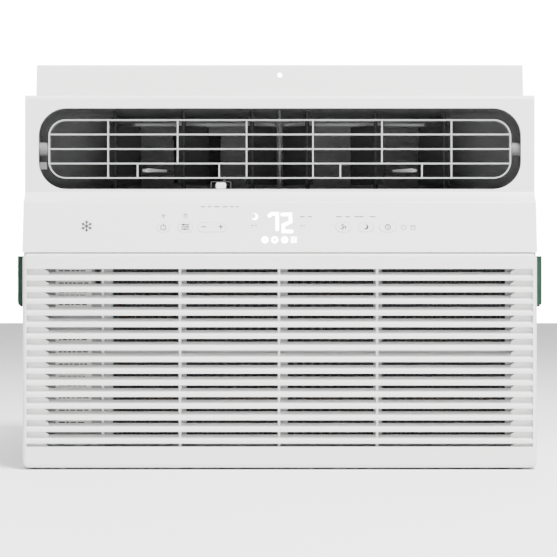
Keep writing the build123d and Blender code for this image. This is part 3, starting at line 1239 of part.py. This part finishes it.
PIPE_TOP = cond_heights[0]
SIDE_X = -221.0
save(
    "suction_line",
    tube_along(
        [
            (EVAP_X[1] + 2, EVAP_ROWS[0], EVAP_LOW_Z),
            (LINE_X, EVAP_ROWS[0], EVAP_LOW_Z),
            (LINE_X, EVAP_ROWS[0], 15),
            (LINE_X, -100, 15),
            (LINE_X, -100, SUCTION_TOP),
            (LINE_X, -42, SUCTION_TOP),
            (ACCUM_X, -42, SUCTION_TOP),
            (ACCUM_X, COMPRESSOR_Y, SUCTION_TOP),
            (ACCUM_X, COMPRESSOR_Y, ACCUM_Z[1]),
        ],
        8,
        SUCTION_R,
    ),
)
DRIER_Y, LIQUID_Z = (130.0, 190.0), 322.0
with BuildPart() as condenser_lines:
    hot_gas = [
        (COMPRESSOR_X, COMPRESSOR_Y, CAN_TOP),
        (COMPRESSOR_X, COMPRESSOR_Y, PIPE_TOP),
        (SIDE_X, COMPRESSOR_Y, PIPE_TOP),
        (SIDE_X, COND_ROWS[0], PIPE_TOP),
        (COND_X[0] - 2, COND_ROWS[0], PIPE_TOP),
    ]
    liquid = [
        (COND_X[0] - 2, COND_ROWS[1], PIPE_TOP),
        (SIDE_X, COND_ROWS[1], PIPE_TOP),
        (SIDE_X, COND_ROWS[1], LIQUID_Z),
        (SIDE_X, DRIER_Y[1], LIQUID_Z),
    ]
    add(tube_along(hot_gas, 8, TUBE_R))
    add(tube_along(liquid, 8, 3.2))
save("condenser_lines", condenser_lines.part)
with BuildPart() as filter_drier:
    bar((SIDE_X, DRIER_Y[0], LIQUID_Z), (SIDE_X, DRIER_Y[1], LIQUID_Z), 9)
    fillet(filter_drier.edges().filter_by(GeomType.CIRCLE), radius=5)
save("filter_drier", filter_drier.part)
save(
    "capillary_tube",
    tube_along(
        [
            (SIDE_X, DRIER_Y[0], LIQUID_Z),
            (SIDE_X, -54, LIQUID_Z),
            (CAPILLARY_X, -54, LIQUID_Z),
            (CAPILLARY_X, -54, CAPILLARY_Z),
            (CAPILLARY_X, EVAP_ROWS[1], CAPILLARY_Z),
            (CAPILLARY_X, EVAP_ROWS[1], EVAP_LOW_Z),
            (EVAP_X[1] + 2, EVAP_ROWS[1], EVAP_LOW_Z),
        ],
        4.5,
        CAPILLARY_R,
    ),
)
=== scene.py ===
import json
import math
import random

import bpy
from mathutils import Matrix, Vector


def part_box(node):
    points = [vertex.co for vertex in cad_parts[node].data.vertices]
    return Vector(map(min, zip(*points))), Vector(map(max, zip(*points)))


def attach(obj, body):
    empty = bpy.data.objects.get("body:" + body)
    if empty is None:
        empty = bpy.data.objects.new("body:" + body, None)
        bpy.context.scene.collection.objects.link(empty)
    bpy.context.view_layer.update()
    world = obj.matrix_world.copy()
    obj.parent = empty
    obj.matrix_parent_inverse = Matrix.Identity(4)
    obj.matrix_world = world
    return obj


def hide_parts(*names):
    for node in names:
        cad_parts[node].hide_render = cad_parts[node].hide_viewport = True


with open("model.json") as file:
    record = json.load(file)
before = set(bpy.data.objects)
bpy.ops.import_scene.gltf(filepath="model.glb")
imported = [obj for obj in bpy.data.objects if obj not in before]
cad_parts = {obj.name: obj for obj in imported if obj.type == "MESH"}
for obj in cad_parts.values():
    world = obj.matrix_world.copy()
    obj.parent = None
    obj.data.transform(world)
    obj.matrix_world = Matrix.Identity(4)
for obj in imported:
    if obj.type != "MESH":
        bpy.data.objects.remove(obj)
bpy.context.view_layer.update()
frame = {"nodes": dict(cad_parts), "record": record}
nodes = frame["nodes"]
scene = bpy.context.scene
random.seed(7)
MM = 0.001

# ------------------------------------------------------------------ camera
SENSOR, LENS = 36.0, 172.4
CAMERA_AT = (-0.0012, -2.773, 0.1794)

camera_data = bpy.data.cameras.new("camera")
camera_data.sensor_width = SENSOR
camera_data.lens = LENS
camera_data.clip_start = 0.05
camera_data.clip_end = 50.0
camera = bpy.data.objects.new("camera", camera_data)
camera.location = CAMERA_AT
camera.rotation_euler = (math.radians(90), 0, 0)
scene.collection.objects.link(camera)
scene.camera = camera


# ------------------------------------------------------------------ materials
def shader(name, color, rough, metallic=0.0):
    """A new material; returns it with its node tree and its Principled node."""
    material = bpy.data.materials.new(name)
    material.use_nodes = True
    tree = material.node_tree
    principled = tree.nodes["Principled BSDF"]
    principled.inputs["Base Color"].default_value = (*color, 1.0)
    principled.inputs["Roughness"].default_value = rough
    principled.inputs["Metallic"].default_value = metallic
    return material, tree, principled


def coords(tree, stretch=(1, 1, 1)):
    """Object coordinates in metres, stretched along each axis."""
    source = tree.nodes.new("ShaderNodeTexCoord")
    mapping = tree.nodes.new("ShaderNodeMapping")
    mapping.inputs["Scale"].default_value = stretch
    tree.links.new(source.outputs["Object"], mapping.inputs["Vector"])
    return mapping.outputs["Vector"]


def noise(tree, scale, detail=2.0, stretch=(1, 1, 1)):
    """A noise texture on object coordinates; returns its factor."""
    texture = tree.nodes.new("ShaderNodeTexNoise")
    texture.inputs["Scale"].default_value = scale
    texture.inputs["Detail"].default_value = detail
    tree.links.new(coords(tree, stretch), texture.inputs["Vector"])
    return texture.outputs["Fac"]


def ranged(tree, value, low, high):
    """Remaps a 0.3 to 0.7 texture value to low to high."""
    node = tree.nodes.new("ShaderNodeMapRange")
    node.inputs["From Min"].default_value = 0.3
    node.inputs["From Max"].default_value = 0.7
    node.inputs["To Min"].default_value = low
    node.inputs["To Max"].default_value = high
    tree.links.new(value, node.inputs["Value"])
    return node.outputs["Result"]


def mixed(tree, factor, first, second):
    """A colour between first and second, by factor."""
    node = tree.nodes.new("ShaderNodeMix")
    node.data_type = "RGBA"
    node.inputs["A"].default_value = (*first, 1.0)
    node.inputs["B"].default_value = (*second, 1.0)
    tree.links.new(factor, node.inputs["Factor"])
    return node.outputs["Result"]


def bumped(tree, principled, height, strength, distance):
    """Raises the surface by height, in metres at most distance."""
    node = tree.nodes.new("ShaderNodeBump")
    node.inputs["Strength"].default_value = strength
    node.inputs["Distance"].default_value = distance
    tree.links.new(height, node.inputs["Height"])
    tree.links.new(node.outputs["Normal"], principled.inputs["Normal"])


def plastic(name, color, rough, grain=2600, depth=0.00003, spread=0.05, gloss=0.5):
    """Moulded plastic: a fine spark-eroded grain, with a slight drift in gloss and tone."""
    material, tree, principled = shader(name, color, rough)
    principled.inputs["Specular IOR Level"].default_value = gloss
    bumped(tree, principled, noise(tree, grain, 3), 0.35, depth)
    sheen = ranged(tree, noise(tree, 9), rough - spread, rough + spread)
    tree.links.new(sheen, principled.inputs["Roughness"])
    darker = tuple(c * 0.97 for c in color)
    tone = mixed(tree, ranged(tree, noise(tree, 5), 0, 1), color, darker)
    tree.links.new(tone, principled.inputs["Base Color"])
    return material


def painted(name, color, rough, peel=900, depth=0.00004):
    """Powder-coated or painted sheet with faint orange peel."""
    material, tree, principled = shader(name, color, rough)
    principled.inputs["Coat Weight"].default_value = 0.15
    principled.inputs["Coat Roughness"].default_value = 0.3
    bumped(tree, principled, noise(tree, peel, 2), 0.4, depth)
    tree.links.new(ranged(tree, noise(tree, 14), rough - 0.06, rough + 0.06), principled.inputs["Roughness"])
    return material


def galvanised(name):
    """Hot-dip zinc with its spangle."""
    material, tree, principled = shader(name, (0.55, 0.57, 0.59), 0.38, 0.9)
    cells = tree.nodes.new("ShaderNodeTexVoronoi")
    cells.inputs["Scale"].default_value = 120
    tree.links.new(coords(tree), cells.inputs["Vector"])
    split = tree.nodes.new("ShaderNodeSeparateColor")
    tree.links.new(cells.outputs["Color"], split.inputs["Color"])
    tone = mixed(tree, split.outputs["Red"], (0.46, 0.48, 0.50), (0.66, 0.68, 0.70))
    tree.links.new(tone, principled.inputs["Base Color"])
    tree.links.new(ranged(tree, split.outputs["Green"], 0.30, 0.50), principled.inputs["Roughness"])
    return material


def metal(name, color, rough, streak=(40, 40, 900), second=None):
    """Drawn or rolled metal with fine streaks and a little tarnish."""
    material, tree, principled = shader(name, color, rough, 1.0)
    streaks = noise(tree, 6, 4, streak)
    bumped(tree, principled, streaks, 0.2, 0.00003)
    tree.links.new(ranged(tree, streaks, rough - 0.08, rough + 0.12), principled.inputs["Roughness"])
    stained = second or tuple(c * 0.8 for c in color)
    tone = mixed(tree, ranged(tree, noise(tree, 22, 5), 0, 1), color, stained)
    tree.links.new(tone, principled.inputs["Base Color"])
    return material


# colour of the duct foam at the outlet's lip and, paler, at the throat; the paler throat tone is painted
# light
LIP_Y, THROAT_Y = -0.205, -0.095
LIP_TONE, THROAT_PAINTED_LIGHT = (0.12, 0.12, 0.121), (0.30, 0.30, 0.303)


def duct_foam_painted_light(name):
    """Moulded foam with a fine bead texture; its colour is blended from the lip's tone to a paler one
    further in, painted light on the inner walls and the plenum's rear wall.
    """
    material, tree, principled = shader(name, (0.1, 0.1, 0.1), 0.65)
    beads = tree.nodes.new("ShaderNodeTexVoronoi")
    beads.inputs["Scale"].default_value = 420
    tree.links.new(coords(tree), beads.inputs["Vector"])
    bumped(tree, principled, beads.outputs["Distance"], 0.3, 0.0002)
    axes = tree.nodes.new("ShaderNodeSeparateXYZ")
    tree.links.new(coords(tree), axes.inputs["Vector"])
    depth = tree.nodes.new("ShaderNodeMapRange")
    depth.inputs["From Min"].default_value = LIP_Y
    depth.inputs["From Max"].default_value = THROAT_Y
    tree.links.new(axes.outputs["Y"], depth.inputs["Value"])
    # painted light: the foam grows paler from the lip towards the throat
    tone = mixed(tree, depth.outputs["Result"], LIP_TONE, THROAT_PAINTED_LIGHT)
    tree.links.new(tone, principled.inputs["Base Color"])
    return material


def rubber(name):
    """Dull black rubber with a rough skin."""
    material, tree, principled = shader(name, (0.018, 0.018, 0.019), 0.75)
    bumped(tree, principled, noise(tree, 1500, 4), 0.5, 0.00006)
    tree.links.new(ranged(tree, noise(tree, 40), 0.65, 0.85), principled.inputs["Roughness"])
    return material


def glowing(name, color, strength):
    """A lit surface."""
    material, tree, principled = shader(name, color, 0.5)
    principled.inputs["Emission Color"].default_value = (*color, 1.0)
    principled.inputs["Emission Strength"].default_value = strength
    return material


WHITE = plastic("white_plastic", (0.775, 0.775, 0.765), 0.42)
GRILLE = plastic("grille_plastic", (0.765, 0.765, 0.755), 0.45)
KEYS = plastic("button_plastic", (0.765, 0.765, 0.757), 0.40)
LIGHT_GREY = plastic("light_grey_plastic", (0.36, 0.365, 0.365), 0.45)
MID_GREY = plastic("mid_grey_plastic", (0.30, 0.30, 0.305), 0.5)
FILTER_GREY = plastic("filter_plastic", (0.40, 0.41, 0.41), 0.5)
NET = plastic("filter_net", (0.012, 0.012, 0.013), 0.7)
BLACK = plastic("black_plastic", (0.034, 0.034, 0.035), 0.55, gloss=0.3)
GREEN = plastic("green_plastic", (0.014, 0.040, 0.025), 0.6, gloss=0.12)
FOAM_PAINTED_LIGHT = duct_foam_painted_light("grey_foam_plastic")
SMOKE = plastic("smoke_plastic", (0.03, 0.03, 0.032), 0.25)
BOARD = plastic("board_green", (0.025, 0.16, 0.06), 0.3)
CABINET = painted("cabinet_paint", (0.70, 0.70, 0.685), 0.45)
RAIL = painted("rail_paint", (0.86, 0.86, 0.85), 0.45)
BLACK_PAINT = painted("black_paint", (0.012, 0.012, 0.013), 0.28)
MOTOR = painted("motor_paint", (0.04, 0.04, 0.045), 0.4)
ZINC = galvanised("galvanised_steel")
SCREW = metal("screw_steel", (0.62, 0.62, 0.60), 0.3)
SHAFT = metal("steel_shaft", (0.52, 0.52, 0.52), 0.25)
CAN = metal("capacitor_can", (0.68, 0.68, 0.68), 0.35)
COPPER = metal("copper_tube", (0.76, 0.34, 0.19), 0.28, second=(0.45, 0.20, 0.11))
FINS = metal("fin_aluminium", (0.74, 0.76, 0.78), 0.32)
RUBBER = rubber("rubber_black")
INK = plastic("printed_ink", (0.03, 0.03, 0.03), 0.5)
PALE_INK = plastic("pale_ink", (0.16, 0.16, 0.16), 0.5)
LED = glowing("led_white", (1.0, 1.0, 1.0), 12.0)
PAPER = plastic("label_paper", (0.72, 0.72, 0.70), 0.6)

BY_SLOT = {
    "white_plastic": WHITE, "button_plastic": KEYS, "grille_plastic": GRILLE,
    "light_grey_plastic": LIGHT_GREY, "mid_grey_plastic": MID_GREY, "black_plastic": BLACK,
    "filter_plastic": FILTER_GREY, "filter_net": NET, "green_plastic": GREEN,
    "cabinet_paint": CABINET, "rail_paint": RAIL, "galvanised_steel": ZINC,
    "screw_steel": SCREW, "grey_foam_plastic": FOAM_PAINTED_LIGHT, "black_paint": BLACK_PAINT,
    "copper_tube": COPPER, "fin_aluminium": FINS, "rubber_black": RUBBER,
    "board_green": BOARD, "smoke_plastic": SMOKE, "capacitor_can": CAN,
    "steel_shaft": SHAFT, "motor_paint": MOTOR,
}
SLOT_OF = {row["node"]: row["material_slot"] for row in frame["record"]["subparts"]}

# radii of moulded and folded edges, in millimetres; nodes not named stay sharp
EDGE = {
    "front_frame": 0.5, "intake_grille": 0.3, "louver_frame": 0.35, "top_rail": 0.25,
    "cabinet_shell": 0.2, "left_carry_grip": 0.4, "right_carry_grip": 0.4, "filter_frame": 0.3,
    "control_cover": 0.2, "base_pan": 0.3, "outlet_duct": 0.3, "vent_guide": 0.3,
}
for name, node in nodes.items():
    node.data.materials.clear()
    node.data.materials.append(BY_SLOT[SLOT_OF[name]])
    if name in EDGE:
        bevel = node.modifiers.new("edges", "BEVEL")
        bevel.width = EDGE[name] * MM
        bevel.segments = 2
        bevel.limit_method = "ANGLE"
        bevel.angle_limit = math.radians(40)
        bevel.harden_normals = True


# ------------------------------------------------------------------ piece building
def piece(name, verts, faces, material, body, slot=None):
    """A mesh piece in the row frame that rides on a body; vertices are in metres."""
    mesh = bpy.data.meshes.new(name)
    mesh.from_pydata(verts, [], faces)
    mesh.update()
    mesh.materials.append(material)
    obj = bpy.data.objects.new(name, mesh)
    scene.collection.objects.link(obj)
    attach(obj, body)
    return obj


def boxes(limits):
    """Vertices and faces of many boxes, each given as ((x0, x1), (y0, y1), (z0, z1)) in millimetres."""
    verts, faces = [], []
    for (x0, x1), (y0, y1), (z0, z1) in limits:
        base = len(verts)
        for x in (x0, x1):
            for y in (y0, y1):
                for z in (z0, z1):
                    verts.append((x * MM, y * MM, z * MM))
        for quad in ((0, 1, 3, 2), (4, 6, 7, 5), (0, 4, 5, 1), (2, 3, 7, 6), (0, 2, 6, 4), (1, 5, 7, 3)):
            faces.append(tuple(base + i for i in quad))
    return verts, faces


def about(centre, half):
    """The span of that half width about a centre."""
    return centre - half, centre + half


# ------------------------------------------------------------------ coil fins
FIN_PITCH, FIN_THICK, END_SHEET, TOP_GAP = 1.45, 0.16, 1.2, 2.0


def fin_stack(name, node, foot):
    """Thin aluminium sheets from height foot up, between two end sheets, in place of a coil's CAD node."""
    low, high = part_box(node)
    x0, x1 = low.x / MM + END_SHEET, high.x / MM - END_SHEET
    y0, y1 = low.y / MM, high.y / MM
    top = high.z / MM
    count = int((x1 - x0) / FIN_PITCH)
    step = (x1 - x0 - FIN_THICK) / count
    limits = []
    for i in range(count + 1):
        x = x0 + i * step
        limits.append(((x, x + FIN_THICK), (y0, y1), (foot, top - TOP_GAP)))
    for x in (x0 - END_SHEET, x1):
        limits.append(((x, x + END_SHEET), (y0, y1), (low.z / MM, top)))
    stack = piece(name, *boxes(limits), FINS, "housing", "fin_aluminium")
    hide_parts(node)


fin_stack("condenser_fin_sheets", "condenser_fins", 10.0)
fin_stack("evaporator_fin_sheets", "evaporator_fins", 24.0)

# ------------------------------------------------------------------ filter net
STRAND, NET_PITCH, STRAND_NEAR, STRAND_FAR = 0.72, 1.2, 0.28, 0.02
PANE_X, RIBS, RIB_HALF = (-161.25, 216.25), (-91.9, 3.6, 92.4), 3.75
CROSS_RIB_Z = (108.0, 113.0)


def net_strands():
    """Upright strands in front of level ones, in each pane of the filter frame."""
    low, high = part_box("filter_mesh")
    net_y = (low.y + high.y) / 2 / MM
    front = (net_y - STRAND_NEAR, net_y + STRAND_FAR)
    back = (net_y - STRAND_FAR, net_y + STRAND_NEAR)
    columns = [(a + RIB_HALF, b - RIB_HALF) for a, b in zip((PANE_X[0], *RIBS), (*RIBS, PANE_X[1]))]
    rows = [(low.z / MM, CROSS_RIB_Z[0]), (CROSS_RIB_Z[1], high.z / MM)]
    strands = []
    for x0, x1 in columns:
        for z0, z1 in rows:
            across, up = int((x1 - x0) / NET_PITCH), int((z1 - z0) / NET_PITCH)
            for i in range(1, across):
                x = x0 + (x1 - x0) * i / across
                strands.append((about(x, STRAND / 2), front, (z0, z1)))
            for i in range(1, up):
                z = z0 + (z1 - z0) * i / up
                strands.append(((x0, x1), back, about(z, STRAND / 2)))
    return strands


net = piece("filter_net_strands", *boxes(net_strands()), NET, "filter", "filter_net")
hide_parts("filter_mesh")

# ------------------------------------------------------------------ prints and lights on the fascia
FASCIA_TOP_Y, FASCIA_TOP_Z = -260.5, 252.5
FASCIA_LOW_Y, FASCIA_LOW_Z = -272.7, 204.0
LEAN = math.atan2(FASCIA_TOP_Y - FASCIA_LOW_Y, FASCIA_TOP_Z - FASCIA_LOW_Z)
SKIN_FILM, KEY_FILM = 0.04, 0.39


def on_fascia(x, z, lift):
    """Point on the fascia at x and height z, lifted off its face; in metres."""
    y = FASCIA_LOW_Y + (z - FASCIA_LOW_Z) * math.tan(LEAN)
    return (x * MM, (y - lift * math.cos(LEAN)) * MM, (z + lift * math.sin(LEAN)) * MM)


def ribbon(points, width):
    """Outline of a stroke of that width along points, with round ends."""
    half = width / 2
    left, right = [], []
    for i, (x, z) in enumerate(points):
        before = points[max(i - 1, 0)]
        after = points[min(i + 1, len(points) - 1)]
        d1 = Vector((x - before[0], z - before[1]))
        d2 = Vector((after[0] - x, after[1] - z))
        d1 = d1.normalized() if d1.length else d2.normalized()
        d2 = d2.normalized() if d2.length else d1
        along = (d1 + d2).normalized()
        reach = half / max(0.35, along.dot(d1))
        normal = Vector((-along.y, along.x)) * reach
        left.append((x + normal.x, z + normal.y))
        right.append((x - normal.x, z - normal.y))

    def cap(centre, heading):
        start = math.atan2(heading.y, heading.x) - math.pi / 2
        angles = [start + math.pi * k / 8 for k in range(1, 8)]
        return [(centre[0] + half * math.cos(a), centre[1] + half * math.sin(a)) for a in angles]

    last = Vector((points[-1][0] - points[-2][0], points[-1][1] - points[-2][1]))
    first = Vector((points[0][0] - points[1][0], points[0][1] - points[1][1]))
    return right + cap(points[-1], last) + left[::-1] + cap(points[0], first)


def arc(cx, cz, radius, start, end, steps=20):
    """Points of an arc, angles in degrees from +X."""
    return [
        (cx + radius * math.cos(math.radians(start + (end - start) * k / steps)),
         cz + radius * math.sin(math.radians(start + (end - start) * k / steps)))
        for k in range(steps + 1)
    ]


def disc(cx, cz, radius, steps=28):
    """Outline of a filled circle."""
    return arc(cx, cz, radius, 0, 360 - 360 / steps, steps - 1)


def ring(cx, cz, radius, width, steps):
    """A thin circle, open by one degree so that its ends don't overlap."""
    return ribbon(arc(cx, cz, radius, 0, 359, steps), width)


def rectangle(x0, x1, z0, z1, width):
    """A thin rectangle."""
    return ribbon([(x0, z0), (x1, z0), (x1, z1), (x0, z1), (x0, z0)], width)


def printed(name, outlines, material, body="housing", lift=SKIN_FILM):
    """Flat shapes lying on the fascia or on a key cap."""
    verts, faces = [], []
    for k, outline in enumerate(outlines):
        base = len(verts)
        verts += [on_fascia(x, z, lift + k * 0.0015) for x, z in outline]
        faces.append(tuple(range(base, base + len(outline))))
    return piece(name, verts, faces, material, body)


def bars(x0, x1, z, height=1.1, parts=(0.42, 0.34)):
    """Plain bars in place of a printed word."""
    out, x = [], x0
    for share in parts:
        end = x + (x1 - x0) * share
        out.append(ribbon([(x + height / 2, z), (end - height / 2, z)], height))
        x = end + (x1 - x0) * (1 - sum(parts)) / max(1, len(parts) - 1)
    return out


def snowflake(cx, cz, radius, width):
    """Six arms, each with two twigs."""
    out = []
    for k in range(6):
        a = math.radians(90 + 60 * k)
        tip = (cx + radius * math.cos(a), cz + radius * math.sin(a))
        fork = (cx + radius * 0.58 * math.cos(a), cz + radius * 0.58 * math.sin(a))
        out.append(ribbon([(cx, cz), tip], width))
        for turn in (-50, 50):
            b = a + math.radians(turn)
            end = (fork[0] + radius * 0.3 * math.cos(b), fork[1] + radius * 0.3 * math.sin(b))
            out.append(ribbon([fork, end], width))
    return out


def crescent(cx, cz, radius):
    """A moon: a large arc closed by a smaller one set to the left."""
    outer = arc(cx, cz, radius, 120, -150, 24)
    inner = arc(cx - radius * 0.45, cz + radius * 0.22, radius * 0.78, -142, 108, 20)
    return outer + inner


def blades(cx, cz):
    """Three curved fan blades round a hub."""
    out = []
    for a in (90, 210, 330):
        x = cx + 1.3 * math.cos(math.radians(a))
        z = cz + 1.3 * math.sin(math.radians(a))
        out.append(ribbon(arc(x, z, 1.25, a - 10, a + 150, 8), 1.0))
    return out + [disc(cx, cz, 0.6)]


# centres of the keys and heights of the printed rows, in millimetres
POWER_X, MODE_X, MINUS_X, PLUS_X = -109.4, -88.8, -71.4, -55.4
FAN_X, SLEEP_X, TIMER_X, ROUND_X, WINDOW_X = 59.7, 80.8, 101.5, 116.4, 125.3
KEY_Z, SIGN_Z, HIGH_ROW, MIDDLE_ROW = 227.7, 227.9, 247.0, 237.5

printed("mark_snowflake", snowflake(-181.5, 228.6, 5.2, 1.1), INK)

power = [
    ribbon(arc(POWER_X, 227.4, 2.5, 120, 420, 26), 0.85),
    ribbon([(POWER_X, 227.8), (POWER_X, 230.6)], 0.85),
]
printed("power_icon", power, INK, "power_button", KEY_FILM)

sliders = [ribbon([(MODE_X - 3.4, z), (MODE_X + 3.4, z)], 1.0) for z in (225.7, 227.8, 229.9)]
sliders += [disc(MODE_X + dx, z, 0.95) for dx, z in ((-1.6, 229.9), (1.8, 227.8), (-0.6, 225.7))]
printed("mode_icon", sliders, INK, "mode_button", KEY_FILM)

signs = [ribbon([(x - 1.7, SIGN_Z), (x + 1.7, SIGN_Z)], 1.0) for x in (MINUS_X, PLUS_X)]
signs.append(ribbon([(PLUS_X, SIGN_Z - 1.7), (PLUS_X, SIGN_Z + 1.7)], 1.0))
printed("minus_plus_icons", signs, INK, "temperature_rocker", KEY_FILM)

printed("fan_icon", blades(FAN_X, KEY_Z), INK, "fan_button", KEY_FILM)
printed("sleep_icon", [crescent(SLEEP_X, KEY_Z, 2.5)], INK, "sleep_button", KEY_FILM)
clock_hands = ribbon([(TIMER_X, 229.3), (TIMER_X, KEY_Z), (TIMER_X + 1.2, 227.0)], 0.7)
printed("timer_icon", [ring(TIMER_X, KEY_Z, 2.4, 0.85, 28), clock_hands], INK, "timer_button", KEY_FILM)

waves = [ribbon(arc(POWER_X, 236.9, radius, 50, 130, 8), 0.65) for radius in (1.4, 2.4)]
printed("signal_icon", [disc(POWER_X, 236.9, 0.65)] + waves, INK)
lock_x = MODE_X + 0.1
shackle = ribbon(arc(lock_x, 239.3, 1.0, 0, 180, 10), 0.6)
printed("lock_icon", [rectangle(lock_x - 1.4, lock_x + 1.4, 237.0, 239.2, 0.6), shackle], INK)

captions = bars(-74.3, -64.6, HIGH_ROW) + bars(-62.1, -49.3, HIGH_ROW) + bars(-46.8, -38.6, HIGH_ROW)
captions += bars(-27.4, -21.3, 229.2, 0.9) + bars(18.6, 30.3, MIDDLE_ROW) + bars(18.9, 23.6, 229.0)
captions += bars(52.7, 66.0, MIDDLE_ROW) + bars(70.0, 90.2, MIDDLE_ROW, parts=(0.45, 0.3))
printed("caption_bars", captions, PALE_INK)
printed("round_icon", [ring(ROUND_X, 227.4, 2.1, 0.6, 24)], PALE_INK)
window = rectangle(WINDOW_X - 1.9, WINDOW_X + 1.9, 225.6, 229.2, 0.6)
sash = ribbon([(WINDOW_X - 1.9, 228.0), (WINDOW_X + 1.9, 228.0)], 0.6)
printed("window_icon", [window, sash], PALE_INK)

# the lit display: two figures, a row of lamps and a night lamp
FIGURE_STROKE, LAMP_R, LAMP_Z = 3.5, 3.4, 215.7
CLOCK_LAMP_X, DOT_LAMP_X, TURN_LAMP_X, BARS_LAMP_X = -13.9, -4.7, 4.6, (10.8, 15.6)
seven = [(-9.8, 238.4), (-7.6, 240.2), (-2.4, 240.2), (-2.4, 225.6)]
two = [(2.4, 239.6), (9.8, 239.8), (10.2, 232.8), (3.2, 229.4), (3.4, 223.8), (11.2, 223.6)]
printed("figure_seven", [ribbon(seven, FIGURE_STROKE)], LED)
printed("figure_two", [ribbon(two, FIGURE_STROKE)], LED, lift=SKIN_FILM + 0.02)

lamps = [disc(x, LAMP_Z, LAMP_R) for x in (CLOCK_LAMP_X, DOT_LAMP_X, TURN_LAMP_X)]
lamps += [ribbon([(x, LAMP_Z + dz) for x in BARS_LAMP_X], 1.3) for dz in (-2.1, 0, 2.1)]
printed("mode_lamps", lamps, LED)
lamp_marks = [
    ribbon([(CLOCK_LAMP_X, LAMP_Z + 1.7), (CLOCK_LAMP_X, LAMP_Z), (CLOCK_LAMP_X + 1.2, LAMP_Z - 0.9)], 0.5),
    disc(DOT_LAMP_X, LAMP_Z, 1.2),
    ribbon(arc(TURN_LAMP_X, LAMP_Z, 1.5, 20, 250, 12), 0.6),
]
printed("lamp_marks", lamp_marks, KEYS, lift=SKIN_FILM + 0.03)
printed("night_lamp", [crescent(-23.6, 237.6, 3.2)], LED)

# ------------------------------------------------------------------ plain labels on the compartment cover
LABELS = {"upper_blank_label": (150.0, 196.0), "lower_blank_label": (36.0, 128.0)}
LABEL_X, PAPER_FILM, INK_FILM = (-212.0, -178.0), 0.15, 0.22
ROW_X, LAST_START, ROW_PITCH, ROW_HALF = (-209.0, -181), -184, 2.9, 0.6


def word_bars(z, paper_y):
    """One row of plain bars of uneven length, in place of printed words."""
    row = []
    ink = (paper_y + PAPER_FILM - INK_FILM, paper_y)
    x = ROW_X[0]
    while x < LAST_START:
        length = random.uniform(2.5, 6.5)
        row.append(((x, min(x + length, ROW_X[1])), ink, about(z, ROW_HALF)))
        x += length + 1.0
    return row


cover_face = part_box("control_cover")[0].y / MM
paper_face = cover_face - PAPER_FILM
label_rows = []
for name, (z0, z1) in LABELS.items():
    piece(name, *boxes([(LABEL_X, (paper_face, cover_face), (z0, z1))]), PAPER, "housing")
    for k in range(int((z1 - z0 - 5) / ROW_PITCH)):
        label_rows += word_bars(z1 - 3.5 - k * ROW_PITCH, paper_face)
piece("label_bars", *boxes(label_rows), INK, "housing")

# ------------------------------------------------------------------ surroundings
FLOOR_HALF = 8
floor_corners = [(x * FLOOR_HALF, y * FLOOR_HALF, 0) for x, y in ((-1, -1), (1, -1), (1, 1), (-1, 1))]
floor_mesh = bpy.data.meshes.new("floor")
floor_mesh.from_pydata(floor_corners, [], [(0, 1, 2, 3)])
floor = bpy.data.objects.new("floor", floor_mesh)
scene.collection.objects.link(floor)
floor_material, _, _ = shader("floor_pale", (0.86, 0.86, 0.86), 0.8)
floor_mesh.materials.append(floor_material)

world = bpy.data.worlds.new("studio")
scene.world = world
world.use_nodes = True
sky = world.node_tree
# a dim room all round, with a bright backdrop only behind the front view
FRONT_SKY, REAR_SKY, BACKDROP_EDGE, BACKDROP_FULL = 0.6, 17.0, 0.93, 0.985
direction = sky.nodes.new("ShaderNodeTexCoord")
axes = sky.nodes.new("ShaderNodeSeparateXYZ")
ramp = sky.nodes.new("ShaderNodeMapRange")
ramp.interpolation_type = "SMOOTHSTEP"
ramp.inputs["From Min"].default_value = BACKDROP_EDGE
ramp.inputs["From Max"].default_value = BACKDROP_FULL
ramp.inputs["To Min"].default_value = FRONT_SKY
ramp.inputs["To Max"].default_value = REAR_SKY
sky.links.new(direction.outputs["Generated"], axes.inputs["Vector"])
sky.links.new(axes.outputs["Y"], ramp.inputs["Value"])
sky.links.new(ramp.outputs["Result"], sky.nodes["Background"].inputs["Strength"])
sky.nodes["Background"].inputs["Color"].default_value = (1, 1, 1, 1)


def softbox(name, location, target, size, power):
    """A square area light aimed at target."""
    data = bpy.data.lights.new(name, "AREA")
    data.size = size
    data.energy = power
    lamp = bpy.data.objects.new(name, data)
    lamp.location = location
    lamp.rotation_euler = (Vector(target) - Vector(location)).to_track_quat("-Z", "Y").to_euler()
    scene.collection.objects.link(lamp)


softbox("key", (0.9, -1.75, 2.9), (0, -0.2, 0.2), 1.3, 410)
softbox("fill", (-0.9, -2.2, 2.4), (0, -0.2, 0.2), 1.5, 30)
softbox("top", (0, 0.3, 2.6), (0, 0.1, 0.3), 2.0, 45)
